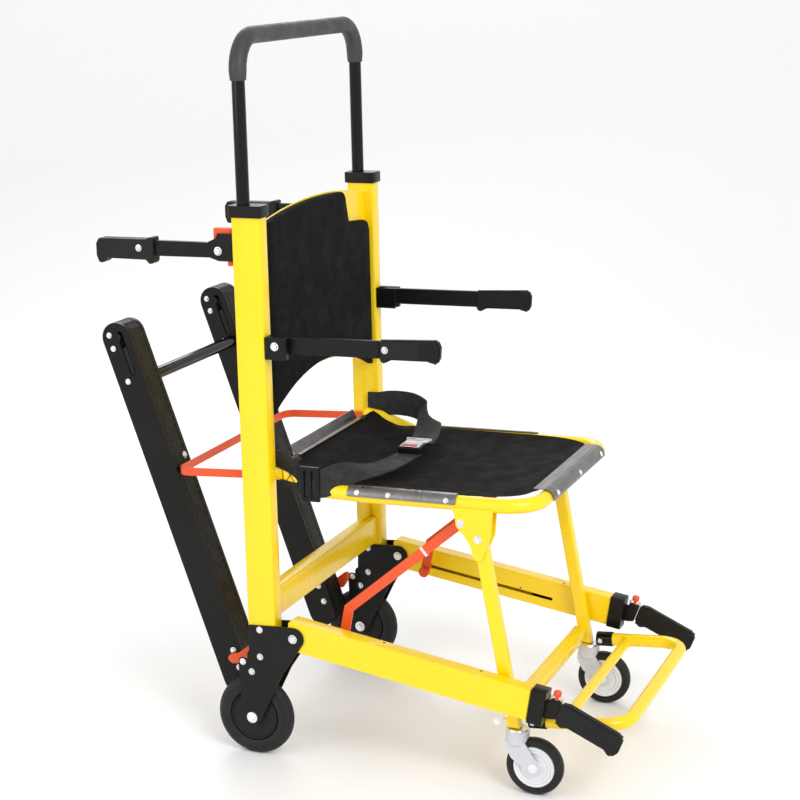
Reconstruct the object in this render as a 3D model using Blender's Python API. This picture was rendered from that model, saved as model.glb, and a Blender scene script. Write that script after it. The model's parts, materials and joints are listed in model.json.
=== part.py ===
"""Evacuation stair chair with rear tracks, four wheels and folding seat, legs and lower rails.

Lengths are metres. +Z is up, the sitter faces -Y and the sitter's right side is -X.
The frame is drawn with its posts upright, then everything above the casters leans back by
RECLINE about the rear axle. Outlines of side plates are lists of (y, z) points.
"""
import math

import bmesh
import bpy
from mathutils import Matrix, Vector

# ---------------------------------------------------------------- driving dimensions
RECLINE = math.radians(2.0)          # lean of the whole frame about the rear axle
FRAME_Y = 0.1768                     # rear axle behind the middle of the footprint
GAP = 0.0003                         # air left between touching pieces

POST_X = 0.240                       # middle plane of a back post, a rail and their handles
POST_W, POST_D = 0.030, 0.052        # post section across and fore-and-aft
POST_Y = -0.023                      # middle of the post's depth
POST_BOTTOM, POST_TOP = 0.150, 0.940
WALL = 0.002

AXLE = (0.0, 0.0703)                 # rear wheel axle (y, z)
REAR_R, REAR_W = 0.0703, 0.027
RAIL_PIVOT = (-0.083, 0.223)         # rail to bracket
SEAT_LEG_PIVOT = (-0.407, 0.421)     # gusset to leg
RAIL_LEG_PIVOT = (-0.454, 0.141)     # rail to leg
SEAT_PIVOT = (SEAT_LEG_PIVOT[0] + RAIL_PIVOT[0] - RAIL_LEG_PIVOT[0],
              SEAT_LEG_PIVOT[1] + RAIL_PIVOT[1] - RAIL_LEG_PIVOT[1])

RAIL_SLOPE = math.radians(9.56)      # rails run down towards the front
RAIL_TOP, RAIL_BOTTOM = 0.030, -0.024   # rail edges above and below its pivot line
RAIL_REAR, RAIL_FRONT = -0.014, 0.4237  # rail ends along its own length
RAIL_W = 0.029
SLOT_REAR, SLOT_FRONT, SLOT_T, SLOT_H = 0.062, 0.312, -0.004, 0.006

LEG_X, LEG_W, LEG_D = 0.2115, 0.019, 0.022
LEG_TOP, LEG_FOOT = (-0.404, 0.440), (-0.464, 0.098)
SEAT_X, SEAT_R = 0.2115, 0.0125
LINK_TOP = (-0.3775, 0.4455)         # link bolt on the gusset
LINK_X, LINK_T = 0.1950, 0.005

CASTER_X = 0.2100
CASTER_STEM_Y, CASTER_AXLE_Y = -0.467, -0.499   # from the rear axle, chair upright
CASTER_R, CASTER_W, CASTER_TOP = 0.0495, 0.023, 0.1125

TRACK_X, TRACK_W = 0.1825, 0.055
TRACK_FOOT, TRACK_HEAD = (0.0505, 0.1165), (0.2565, 0.717)   # sprocket centres
TRACK_R = 0.0275                     # outside radius of the belt loop
BELT_T = 0.005
BRACE_PIVOT = (-0.005, 0.498)        # track brace on the posts

HANDLE_Y, HANDLE_R, HANDLE_TOP = -0.014, 0.011, 1.230
HANDLE_FOOT, HANDLE_BEND = 0.520, 0.055
GRIP_R, GRIP_START = 0.0145, 1.1605
REAR_HANDLE_PIVOT = (0.030, 0.8835)
ARM_PIVOT = (-0.068, 0.729)
FOOTREST_PIVOT = (-0.490, 0.1095)

COLOURS = {
    "yellow_paint": ((1.0, 0.72, 0.0), 0.28, 0.0),
    "black_paint": ((0.035, 0.034, 0.030), 0.42, 0.0),
    "orange_paint": ((1.0, 0.145, 0.02), 0.35, 0.0),
    "black_grip": ((0.045, 0.045, 0.045), 0.62, 0.0),
    "handle_tube": ((0.02, 0.02, 0.022), 0.25, 0.3),
    "rubber": ((0.05, 0.05, 0.052), 0.7, 0.0),
    "caster_plastic": ((0.72, 0.73, 0.76), 0.4, 0.0),
    "black_fabric": ((0.012, 0.012, 0.013), 0.9, 0.0),
    "webbing": ((0.03, 0.03, 0.03), 0.8, 0.0),
    "buckle": ((0.4, 0.4, 0.42), 0.35, 0.6),
}


# ---------------------------------------------------------------- scene and materials
def clear_scene():
    for item in list(bpy.data.objects):
        bpy.data.objects.remove(item, do_unlink=True)


def make_materials():
    """One Principled material for each finish."""
    made = {}
    for name, (colour, rough, metal) in COLOURS.items():
        mat = bpy.data.materials.new(name)
        mat.use_nodes = True
        shader = mat.node_tree.nodes["Principled BSDF"]
        shader.inputs["Base Color"].default_value = (*colour, 1.0)
        shader.inputs["Roughness"].default_value = rough
        shader.inputs["Metallic"].default_value = metal
        mat.diffuse_color = (*colour, 1.0)
        made[name] = mat
    return made


# ---------------------------------------------------------------- outlines
def arc(centre, radius, start, end, steps):
    """Points on an arc, with angles in degrees from the first axis to the second."""
    points = []
    for i in range(steps + 1):
        a = math.radians(start + (end - start) * i / steps)
        points.append((centre[0] + radius * math.cos(a), centre[1] + radius * math.sin(a)))
    return points


def rounded_rect(u0, u1, v0, v1, radius, steps=2):
    """Rectangle outline with round corners, anticlockwise from the lower right corner."""
    corners = [((u1 - radius, v0 + radius), -90), ((u1 - radius, v1 - radius), 0),
               ((u0 + radius, v1 - radius), 90), ((u0 + radius, v0 + radius), 180)]
    points = []
    for centre, start in corners:
        points += arc(centre, radius, start, start + 90, steps)
    return points


def circle(centre, radius, count, first=-90.0):
    points = arc(centre, radius, first, first + 360.0, count)
    return points[:-1]


def capsule(a, b, radius, steps=6):
    """Outline of a bar with round ends whose end centres are a and b."""
    heading = math.degrees(math.atan2(b[1] - a[1], b[0] - a[0]))
    return (arc(b, radius, heading - 90, heading + 90, steps)
            + arc(a, radius, heading + 90, heading + 270, steps))


def on_rail(s, t):
    """(y, z) of a point s along the rail from its pivot and t above the pivot line."""
    c, n = math.cos(RAIL_SLOPE), math.sin(RAIL_SLOPE)
    return (RAIL_PIVOT[0] - s * c - t * n, RAIL_PIVOT[1] - s * n + t * c)


def leaned(y, z):
    """A drawn (y, z) point after the frame's recline, measured from the rear axle's y."""
    c, s = math.cos(RECLINE), math.sin(RECLINE)
    dz = z - AXLE[1]
    return (y * c + dz * s, AXLE[1] - y * s + dz * c)


def drawn_height(y, level):
    """Drawn z at which a point at drawn y ends up at a given level after the recline."""
    c, s = math.cos(RECLINE), math.sin(RECLINE)
    return AXLE[1] + (level - AXLE[1] + y * s) / c


# ---------------------------------------------------------------- solids
def close_up(bm):
    bmesh.ops.recalc_face_normals(bm, faces=bm.faces)
    return bm


def loft(rings, caps=True, loop=False):
    """Skin rings that have the same number of points."""
    bm = bmesh.new()
    rows = [[bm.verts.new(p) for p in ring] for ring in rings]
    count = len(rows[0])
    pairs = list(zip(rows, rows[1:]))
    if loop:
        pairs.append((rows[-1], rows[0]))
    for low, high in pairs:
        for i in range(count):
            j = (i + 1) % count
            bm.faces.new((low[i], low[j], high[j], high[i]))
    if caps and not loop:
        bm.faces.new(rows[0][::-1])
        bm.faces.new(rows[-1])
    return close_up(bm)


def prism_x(outline, x0, x1):
    return loft([[(x, y, z) for y, z in outline] for x in (x0, x1)])


def prism_y(outline, y0, y1):
    return loft([[(x, y, z) for x, z in outline] for y in (y0, y1)])


def prism_z(outline, z0, z1):
    return loft([[(x, y, z) for x, y in outline] for z in (z0, z1)])


def pipe_z(outer, inner, z0, z1):
    """Upright tube between two outlines with the same number of points."""
    rings = [[(x, y, z0) for x, y in outer], [(x, y, z1) for x, y in outer],
             [(x, y, z1) for x, y in inner], [(x, y, z0) for x, y in inner]]
    return loft(rings, loop=True)


def pipe_x(outer, inner, x0, x1):
    rings = [[(x0, y, z) for y, z in outer], [(x1, y, z) for y, z in outer],
             [(x1, y, z) for y, z in inner], [(x0, y, z) for y, z in inner]]
    return loft(rings, loop=True)


def turned(profile, centre, count=24, axis="x"):
    """Ring turned from a closed (along, radius) profile about a line through centre."""
    rings = []
    for i in range(count):
        a = 2 * math.pi * i / count
        ring = []
        for along, radius in profile:
            if axis == "x":
                ring.append((centre[0] + along, centre[1] + radius * math.cos(a),
                             centre[2] + radius * math.sin(a)))
            else:
                ring.append((centre[0] + radius * math.cos(a),
                             centre[1] + radius * math.sin(a), centre[2] + along))
        rings.append(ring)
    return loft(rings, loop=True)


def rod(p0, p1, radius, count=12):
    """Round bar between two points."""
    p0, p1 = Vector(p0), Vector(p1)
    turn = (p1 - p0).to_track_quat("Z", "Y")
    rings = []
    for end in (p0, p1):
        ring = []
        for i in range(count):
            a = 2 * math.pi * (i + 0.5) / count
            ring.append(end + turn @ Vector((radius * math.cos(a), radius * math.sin(a), 0)))
        rings.append(ring)
    return loft(rings)


def frames_along(path):
    """Tangents and side directions along a path, carried without twist."""
    points = [Vector(p) for p in path]
    last = len(points) - 1
    tangents = [(points[min(i + 1, last)] - points[max(i - 1, 0)]).normalized()
                for i in range(last + 1)]
    side = tangents[0].orthogonal().normalized()
    frames = []
    for point, tangent in zip(points, tangents):
        side = (side - tangent * side.dot(tangent)).normalized()
        frames.append((point, side, tangent.cross(side)))
    return frames


def sweep(path, radius, count=12, bore=None):
    """Round bar along a path; with a bore it is a sleeve with open ends."""
    def rings(r):
        out = []
        for point, side, up in frames_along(path):
            out.append([point + side * (r * math.cos(2 * math.pi * i / count))
                        + up * (r * math.sin(2 * math.pi * i / count)) for i in range(count)])
        return out
    if bore is None:
        return loft(rings(radius))
    return loft(rings(radius) + rings(bore)[::-1], loop=True)


def ribbon(path, across, width, thickness):
    """Flat strap along a path; across holds the width direction at each point."""
    points = [Vector(p) for p in path]
    last = len(points) - 1
    rings = []
    for i, point in enumerate(points):
        along = (points[min(i + 1, last)] - points[max(i - 1, 0)]).normalized()
        wide = Vector(across[i])
        wide = (wide - along * wide.dot(along)).normalized() * (width / 2)
        thick = along.cross(wide).normalized() * (thickness / 2)
        rings.append([point + wide + thick, point - wide + thick,
                      point - wide - thick, point + wide - thick])
    return loft(rings)


def round_path(corners, radius, steps=6):
    """Polyline through corners, each inner corner replaced by an arc of the given radius."""
    pts = [Vector(c) for c in corners]
    path = [pts[0]]
    for before, corner, after in zip(pts, pts[1:], pts[2:]):
        u, v = (before - corner).normalized(), (after - corner).normalized()
        half = u.angle(v) / 2
        reach = radius / math.tan(half)
        centre = corner + (u + v).normalized() * (radius / math.sin(half))
        start = (corner + u * reach - centre).normalized()
        end = (corner + v * reach - centre).normalized()
        for i in range(steps + 1):
            path.append(centre + radius * start.slerp(end, i / steps))
    return path + [pts[-1]]


def soften(bm, width, segments=1, sharp=35.0):
    """Bevel the edges whose faces meet at more than an angle in degrees."""
    edges = [e for e in bm.edges if e.calc_face_angle(0.0) > math.radians(sharp)]
    bmesh.ops.bevel(bm, geom=edges, offset=width, segments=segments, affect="EDGES",
                    clamp_overlap=True)
    return close_up(bm)


def mirrored(bm):
    bmesh.ops.scale(bm, vec=(-1, 1, 1), verts=bm.verts)
    bmesh.ops.reverse_faces(bm, faces=bm.faces)
    return bm


# ---------------------------------------------------------------- objects
class Chair:
    """Collects the pieces and hangs them on the reclined frame."""

    def __init__(self):
        self.materials = make_materials()
        self.frame = bpy.data.objects.new("reclined_frame", None)
        bpy.context.collection.objects.link(self.frame)
        offset = Matrix.Translation((0, FRAME_Y, 0))
        axle = Matrix.Translation((0, AXLE[0], AXLE[1]))
        self.frame.matrix_world = offset @ axle @ Matrix.Rotation(-RECLINE, 4, "X") @ axle.inverted()
        self.floor = bpy.data.objects.new("upright_frame", None)
        bpy.context.collection.objects.link(self.floor)
        self.floor.location = (0, FRAME_Y, 0)

    def solid(self, name, bm):
        mesh = bpy.data.meshes.new(name)
        bm.to_mesh(mesh)
        bm.free()
        item = bpy.data.objects.new(name, mesh)
        bpy.context.collection.objects.link(item)
        return item

    def combine(self, base, tool_bm, operation):
        """Boolean a second solid into an object and keep only the result."""
        tool = self.solid("tool", tool_bm)
        modifier = base.modifiers.new("boolean", "BOOLEAN")
        modifier.operation = operation
        modifier.object = tool
        graph = bpy.context.evaluated_depsgraph_get()
        mesh = bpy.data.meshes.new_from_object(base.evaluated_get(graph))
        base.modifiers.clear()
        base.data = mesh
        bpy.data.objects.remove(tool, do_unlink=True)
        return base

    def place(self, item, finish, pivot=(0, 0, 0), upright=False, angle=40.0):
        """Finish an object: material, shading, origin on its joint, and its parent."""
        item.data.transform(Matrix.Translation(-Vector(pivot)))
        item.location = pivot
        item.parent = self.floor if upright else self.frame
        item.data.materials.clear()
        item.data.materials.append(self.materials[finish])
        item.data.shade_smooth()
        item.data.set_sharp_from_angle(angle=math.radians(angle))
        return item

    def piece(self, name, bm, finish, pivot=(0, 0, 0), upright=False):
        return self.place(self.solid(name, bm), finish, pivot, upright)

    def pair(self, name, build, finish, pivot=(0, 0, 0), upright=False, extras=()):
        """A left piece and its mirror image; extras are (builder, operation) booleans."""
        for side, label in ((1, "left"), (-1, "right")):
            flip = mirrored if side < 0 else (lambda bm: bm)
            item = self.solid(name + "_" + label, flip(build()))
            for tool, operation in extras:
                self.combine(item, flip(tool()), operation)
            self.place(item, finish, (side * pivot[0], pivot[1], pivot[2]), upright)


# ---------------------------------------------------------------- back frame
def post():
    x0, x1 = POST_X - POST_W / 2, POST_X + POST_W / 2
    y0, y1 = POST_Y - POST_D / 2, POST_Y + POST_D / 2
    outer = rounded_rect(x0, x1, y0, y1, 0.004)
    inner = rounded_rect(x0 + WALL, x1 - WALL, y0 + WALL, y1 - WALL, 0.002)
    return pipe_z(outer, inner, POST_BOTTOM, POST_TOP)


def post_cap():
    outer = rounded_rect(POST_X - 0.0185, POST_X + 0.0185, -0.053, 0.007, 0.005, 3)
    hole = circle((POST_X, HANDLE_Y), HANDLE_R + GAP, len(outer), -90.0 + 11.25)
    return pipe_z(outer, hole, POST_TOP + GAP, 0.960)


def rear_crossbar():
    half = POST_X - POST_W / 2 - GAP
    outer = rounded_rect(-0.040, -0.012, 0.246, 0.298, 0.004)
    inner = rounded_rect(-0.038, -0.014, 0.248, 0.296, 0.002)
    return pipe_x(outer, inner, -half, half)


def back_outline(edge_top, crown, edge_bottom, arch, half, steps=10):
    """(x, z) outline with a crowned top edge and an arched bottom edge."""
    top, bottom = [], []
    for i in range(steps + 1):
        u = -1 + 2 * i / steps
        top.append((-u * half, edge_top + crown * (1 - u * u)))
        bottom.append((u * half, edge_bottom + arch * (1 - u * u)))
    return top, bottom


def backrest_sheet():
    top, bottom = back_outline(0.924, 0.022, 0.604, 0.044, 0.2245)
    return prism_y(top + bottom, -0.0320, -0.0300)


def backrest_pad():
    half, neck, shoulder = 0.206, 0.158, 0.885
    top, bottom = back_outline(0.924, 0.017, 0.600, 0.044, neck)
    low_left = arc((-half + 0.014, shoulder - 0.014), 0.014, 90, 180, 3)
    low_right = arc((half - 0.014, shoulder - 0.014), 0.014, 0, 90, 3)
    wide_bottom = back_outline(0.924, 0.0, 0.600, 0.044, half)[1]
    outline = low_right + [(neck, shoulder)] + top + [(-neck, shoulder)] + low_left + wide_bottom
    return soften(prism_y(outline, -0.0440, -0.0323), 0.002)


BRACKET = ([(0.000, 0.2395), (-0.062, 0.2425)] + arc((-0.083, 0.223), 0.0195, 84, 225, 7)
           + [(-0.062, 0.158), (-0.015, 0.063)] + arc(AXLE, 0.0165, 215, 330, 5)
           + [(0.0205, 0.118), (0.0225, 0.168)] + arc((0.014, 0.171), 0.0085, 0, 120, 3)
           + [(0.002, 0.176)])


def bracket_cheek(x0, x1):
    return prism_x(BRACKET, x0, x1)


def bracket_outer():
    return bracket_cheek(POST_X + 0.0154, POST_X + 0.0184)


def bracket_inner():
    return bracket_cheek(POST_X - 0.0184, POST_X - 0.0154)


def bracket_web():
    outline = [(-0.046, 0.1435), (0.006, 0.1435), (0.006, 0.1485), (-0.046, 0.1485)]
    return prism_x(outline, POST_X - 0.017, POST_X + 0.017)


def bracket_axle():
    y, z = AXLE
    return rod((POST_X - 0.017, y, z), (POST_X + 0.017, y, z), 0.006)


def rear_wheel():
    """Tyre and disc turned as one, with a groove where the tyre meets the disc."""
    h, r = REAR_W / 2, REAR_R
    face = [(h - 0.001, 0.0063), (h - 0.001, 0.016), (h - 0.004, 0.018), (h - 0.004, 0.0425),
            (h - 0.006, 0.0435), (h - 0.006, 0.0450), (h - 0.0015, 0.0465), (h, 0.056),
            (h - 0.004, 0.066), (h - 0.008, r)]
    profile = face + [(-a, b) for a, b in face[::-1]]
    return turned(profile, (POST_X, *AXLE), 30)


# ---------------------------------------------------------------- handles on the posts
def handle_path(start):
    corners = [(-POST_X, HANDLE_Y, start), (-POST_X, HANDLE_Y, HANDLE_TOP),
               (POST_X, HANDLE_Y, HANDLE_TOP), (POST_X, HANDLE_Y, start)]
    return round_path(corners, HANDLE_BEND, 7)


def rear_handle_bracket():
    x0, x1 = POST_X - 0.011, POST_X + 0.011
    outline = [(x0, 0.0034), (x1, 0.0034), (x1, 0.045), (x1 - 0.003, 0.045), (x1 - 0.003, 0.0074),
               (x0 + 0.003, 0.0074), (x0 + 0.003, 0.045), (x0, 0.045)]
    return prism_z(outline, 0.8690, 0.9110)


def rear_lever():
    y, z = REAR_HANDLE_PIVOT
    outline = arc((y, z), 0.0125, 90, 270, 7) + [(0.151, z - 0.0135), (0.151, z + 0.0125)]
    return soften(prism_x(outline, POST_X - 0.0055, POST_X + 0.0055), 0.001)


def rear_grip():
    outline = [(0.1513, 0.902), (0.1513, 0.861), (0.1540, 0.857), (0.160, 0.857), (0.166, 0.864),
               (0.240, 0.864), (0.246, 0.857), (0.252, 0.855), (0.257, 0.857), (0.2605, 0.868),
               (0.2605, 0.890), (0.255, 0.898), (0.163, 0.898), (0.160, 0.902)]
    return soften(prism_x(outline, POST_X - 0.0125, POST_X + 0.0125), 0.004, 2)


def rear_latch():
    outline = [(0.0080, 0.858), (0.0158, 0.858), (0.0158, 0.899), (0.040, 0.899),
               (0.040, 0.921), (0.0080, 0.921)]
    return soften(prism_x(outline, POST_X - 0.0065, POST_X + 0.0065), 0.001)


def arm_bracket():
    x0, x1 = POST_X - 0.0125, POST_X + 0.0145
    outline = [(x0, -0.0494), (x0, -0.088), (x0 + 0.003, -0.088), (x0 + 0.003, -0.0524),
               (x1 - 0.011, -0.0524), (x1 - 0.011, -0.088), (x1, -0.088), (x1, -0.0494)]
    return soften(prism_z(outline, 0.706, 0.744), 0.0008)


ARM_X0, ARM_X1 = POST_X - 0.0090, POST_X + 0.0000


def arm_bar():
    y, z = ARM_PIVOT
    outline = arc((y, z), 0.0145, -90, 90, 7) + [(-0.247, 0.745), (-0.247, 0.716)]
    return soften(prism_x(outline, ARM_X0, ARM_X1), 0.001)


def arm_grip():
    outline = [(-0.2473, 0.747), (-0.2473, 0.712), (-0.251, 0.708), (-0.257, 0.708),
               (-0.264, 0.7145), (-0.334, 0.7155), (-0.340, 0.711), (-0.347, 0.712),
               (-0.3520, 0.722), (-0.3530, 0.740), (-0.3480, 0.751), (-0.254, 0.747)]
    return soften(prism_x(outline, ARM_X0 - 0.003, ARM_X1 + 0.001), 0.003, 2)


# ---------------------------------------------------------------- lower rails
def rail():
    chamfer = 0.005
    corners = [(RAIL_REAR + chamfer, RAIL_TOP), (RAIL_REAR, RAIL_TOP - chamfer),
               (RAIL_REAR, RAIL_BOTTOM), (RAIL_FRONT, RAIL_BOTTOM), (RAIL_FRONT, RAIL_TOP)]
    outline = [on_rail(s, t) for s, t in corners]
    return soften(prism_x(outline, POST_X - RAIL_W / 2, POST_X + RAIL_W / 2), 0.0015)


def rail_bore():
    corners = [(RAIL_REAR - 0.02, RAIL_TOP - WALL), (RAIL_REAR - 0.02, RAIL_BOTTOM + WALL),
               (RAIL_FRONT + 0.02, RAIL_BOTTOM + WALL), (RAIL_FRONT + 0.02, RAIL_TOP - WALL)]
    outline = [on_rail(s, t) for s, t in corners]
    half = RAIL_W / 2 - WALL
    return prism_x(outline, POST_X - half, POST_X + half)


def rail_slot():
    """Opening along the rail's inner wall for the fold link's pin."""
    ends = on_rail(SLOT_REAR, SLOT_T), on_rail(SLOT_FRONT, SLOT_T)
    outline = capsule(*ends, SLOT_H / 2, 4)
    return prism_x(outline, POST_X - RAIL_W / 2 - 0.002, POST_X - RAIL_W / 2 + WALL + 0.001)


def front_clamp():
    """Sleeve on the rail's nose with a window for the sliding handle."""
    def ring(s, half, low, high, radius):
        return [(x, *on_rail(s, t)) for x, t in
                rounded_rect(POST_X - half, POST_X + half, low, high, radius)]
    s0, s1 = RAIL_FRONT + GAP, 0.450
    rings = [ring(s0, 0.0165, -0.027, 0.033, 0.003), ring(s1, 0.0165, -0.027, 0.033, 0.003),
             ring(s1, 0.0090, -0.0140, 0.0180, 0.0005), ring(s0, 0.0090, -0.0140, 0.0180, 0.0005)]
    return loft(rings, loop=True)


SLIDER_X0, SLIDER_X1 = POST_X + 0.0010, POST_X + 0.0085


def front_bar():
    shank = [on_rail(0.270, 0.0170), on_rail(0.270, -0.0130)]
    neck = [on_rail(0.4580, -0.0130), (-0.5440, 0.1350), (-0.5560, 0.1660),
            on_rail(0.4570, 0.0240)]
    return soften(prism_x(shank + neck + [on_rail(0.4540, 0.0170)], SLIDER_X0, SLIDER_X1), 0.0007)


def front_grip():
    outline = [(-0.5450, 0.1350), (-0.5490, 0.1265), (-0.5560, 0.1240), (-0.5660, 0.1250),
               (-0.6270, 0.0965), (-0.6330, 0.0880), (-0.6400, 0.0850), (-0.6510, 0.0935),
               (-0.6600, 0.1160), (-0.6560, 0.1240), (-0.5720, 0.1640), (-0.5570, 0.1663)]
    return soften(prism_x(outline, POST_X + 0.0012, POST_X + 0.0172), 0.003, 2)


def front_knob():
    base = on_rail(0.4660, 0.0290)
    tip = on_rail(0.4660, 0.0390)
    x = POST_X + 0.0048
    return rod((x, *base), (x, *tip), 0.0065, 14)


# ---------------------------------------------------------------- legs, footrest, casters
def leg():
    """Square leg whose foot is cut level for the caster."""
    slope = (LEG_TOP[0] - LEG_FOOT[0]) / (LEG_TOP[1] - LEG_FOOT[1])
    half = LEG_D / 2 * math.sqrt(1 + slope * slope)

    def edge(z, side):
        return LEG_FOOT[0] + (z - LEG_FOOT[1]) * slope + side * half
    foot = [(edge(LEG_FOOT[1], side), drawn_height(edge(LEG_FOOT[1], side), CASTER_TOP + 0.0008))
            for side in (-1, 1)]
    outline = foot + [(edge(LEG_TOP[1], 1), LEG_TOP[1]), (edge(LEG_TOP[1], -1), LEG_TOP[1])]
    return soften(prism_x(outline, LEG_X - LEG_W / 2, LEG_X + LEG_W / 2), 0.002)


def leg_crossbar():
    half = LEG_X - LEG_W / 2 - GAP
    outer = rounded_rect(-0.4645, -0.4395, 0.1025, 0.1275, 0.005)
    inner = rounded_rect(-0.4625, -0.4415, 0.1045, 0.1255, 0.003)
    return pipe_x(outer, inner, -half, half)


FOOT_X, FOOT_R, FOOT_FRONT = 0.203, 0.0115, (-0.651, 0.119)


def footrest_bow():
    start = (-0.487, 0.1090)
    corners = [(-FOOT_X, *start), (-FOOT_X, *FOOT_FRONT), (FOOT_X, *FOOT_FRONT), (FOOT_X, *start)]
    return sweep(round_path(corners, 0.046, 6), FOOT_R, 12)


def footrest_step():
    y = -0.545
    z = 0.1085 + (y + 0.478) * (FOOT_FRONT[1] - 0.1085) / (FOOT_FRONT[0] + 0.478)
    return rod((-FOOT_X, y, z), (FOOT_X, y, z), 0.009, 12)


def caster_fork():
    """Swivel housing with two cheeks that reach down to the wheel's axle."""
    stem, top = (CASTER_STEM_Y, CASTER_TOP), CASTER_TOP
    profile = [(-0.0215, 0.0001), (-0.0215, 0.0185), (-0.018, 0.0195), (-0.006, 0.0195),
               (-0.004, 0.0180), (0.0, 0.0165), (0.0, 0.0001)]
    return turned(profile, (CASTER_X, stem[0], top), 24, "z")


def caster_cheeks():
    """Cheeks drawn as one block; the wheel's pocket is cut out of it."""
    axle = (CASTER_AXLE_Y, CASTER_R)
    outline = ([(CASTER_STEM_Y + 0.0175, CASTER_TOP - 0.020)]
               + [(CASTER_STEM_Y - 0.0165, CASTER_TOP - 0.020)]
               + [(CASTER_STEM_Y - 0.026, CASTER_TOP - 0.034)]
               + arc(axle, 0.0130, 165, 345, 7)
               + [(CASTER_STEM_Y + 0.006, CASTER_TOP - 0.050), (CASTER_STEM_Y + 0.0175, 0.082)])
    return prism_x(outline, CASTER_X - 0.0152, CASTER_X + 0.0152)


def caster_pocket():
    profile = [(-0.0125, 0.0), (-0.0125, CASTER_R + 0.0022), (0.0125, CASTER_R + 0.0022),
               (0.0125, 0.0)]
    rings = [[(CASTER_X + x, y, z) for y, z in
              circle((CASTER_AXLE_Y, CASTER_R), profile[1][1], 28)] for x in (-0.0125, 0.0125)]
    return loft(rings)


def caster_axle():
    return rod((CASTER_X - 0.014, CASTER_AXLE_Y, CASTER_R),
               (CASTER_X + 0.014, CASTER_AXLE_Y, CASTER_R), 0.004, 10)


def caster_wheel():
    h, r = CASTER_W / 2, CASTER_R
    face = [(h, 0.0043), (h, 0.011), (h - 0.003, 0.0125), (h - 0.004, 0.029), (h - 0.001, 0.031),
            (h - 0.001, 0.0355), (h - 0.0025, 0.0360), (h - 0.0025, 0.0372), (h, 0.0378),
            (h - 0.001, 0.0455), (h - 0.005, r)]
    profile = face + [(-a, b) for a, b in face[::-1]]
    return turned(profile, (CASTER_X, CASTER_AXLE_Y, CASTER_R), 28)


# ---------------------------------------------------------------- seat
def seat_bow():
    side = [(SEAT_PIVOT[0] + 0.006, 0.504), (-0.062, 0.500), (-0.125, 0.4775), (-0.200, 0.475)]
    front = (-0.4985, 0.478)
    corners = ([(-SEAT_X, *p) for p in side] + [(-SEAT_X, *front), (SEAT_X, *front)]
               + [(SEAT_X, *p) for p in side[::-1]])
    path = [Vector(corners[0])]
    path += round_path(corners[:4], 0.020, 2)[1:-1]
    path += round_path([corners[3], corners[4], corners[5], corners[6]], 0.055, 7)
    path += round_path(corners[6:], 0.020, 2)[1:-1]
    path.append(Vector(corners[-1]))
    return sweep(path, SEAT_R, 12)


def seat_rear_bar():
    return rod((-SEAT_X, -0.047, 0.5035), (SEAT_X, -0.047, 0.5035), 0.0085, 12)


GUSSET = ([(-0.3620, 0.4700), (-0.3680, 0.4520), (-0.3690, 0.4400)]
          + [(-0.3800, 0.4280), (-0.3920, 0.4100), (-0.3980, 0.3900)]
          + [(-0.4120, 0.3870), (-0.4180, 0.3950), (-0.4300, 0.4250), (-0.4320, 0.4700)])


def gusset_outer():
    return prism_x(GUSSET, LEG_X + LEG_W / 2 + 0.0004, LEG_X + LEG_W / 2 + 0.0036)


def gusset_inner():
    return prism_x(GUSSET, LEG_X - LEG_W / 2 - 0.0036, LEG_X - LEG_W / 2 - 0.0004)


SEAT_HALF = 0.1975


def seat_panel():
    """Fabric panel that drops from the rear bar to the seat's flat."""
    top = [(-0.0600, 0.5060), (-0.0750, 0.5010), (-0.1000, 0.4915), (-0.1250, 0.4870),
           (-0.1700, 0.4850), (-0.3000, 0.4840), (-0.4420, 0.4865)]
    bottom = [(y, z - 0.004) for y, z in top]
    return prism_x(top + bottom[::-1], -SEAT_HALF, SEAT_HALF)


def seat_tongue():
    outline = [(-0.4400, 0.4865), (-0.4400, 0.4825), (-0.4855, 0.4835), (-0.4855, 0.4875)]
    return prism_x(outline, -0.150, 0.150)


# ---------------------------------------------------------------- lap belt
BELT_W, BELT_THICK = 0.044, 0.0025


def lap_strap(end):
    """Strap from above the seat tube's rear end down onto the panel and in to end (x, y)."""
    path = [(0.2110, -0.0560, 0.5400), (0.2080, -0.0780, 0.5320), (0.2000, -0.0980, 0.5200),
            (0.1860, -0.1180, 0.5050), (0.1600, -0.1460, 0.4945), (0.1200, -0.1780, 0.4905),
            (0.0900, -0.1920, 0.4905), (*end, 0.4905)]
    across = [(0.2, 0.3, 1), (0.2, 0.4, 1), (0.1, 0.6, 0.8), (0.1, 0.9, 0.4), (0.2, 1, 0.1),
              (0.2, 1, 0), (0.1, 1, 0), (0.1, 1, 0)]
    return ribbon(path, across, BELT_W, BELT_THICK)


def belt_right():
    return mirrored(lap_strap((0.0200, -0.2000)))


def belt_left():
    return lap_strap((0.0500, -0.1990))


def belt_buckle():
    outline = [(-0.0190, -0.2230), (0.0390, -0.2200), (0.0490, -0.2170), (0.0490, -0.1770),
               (0.0390, -0.1740), (-0.0190, -0.1770)]
    return soften(prism_z(outline, 0.4925, 0.5070), 0.002)


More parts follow.
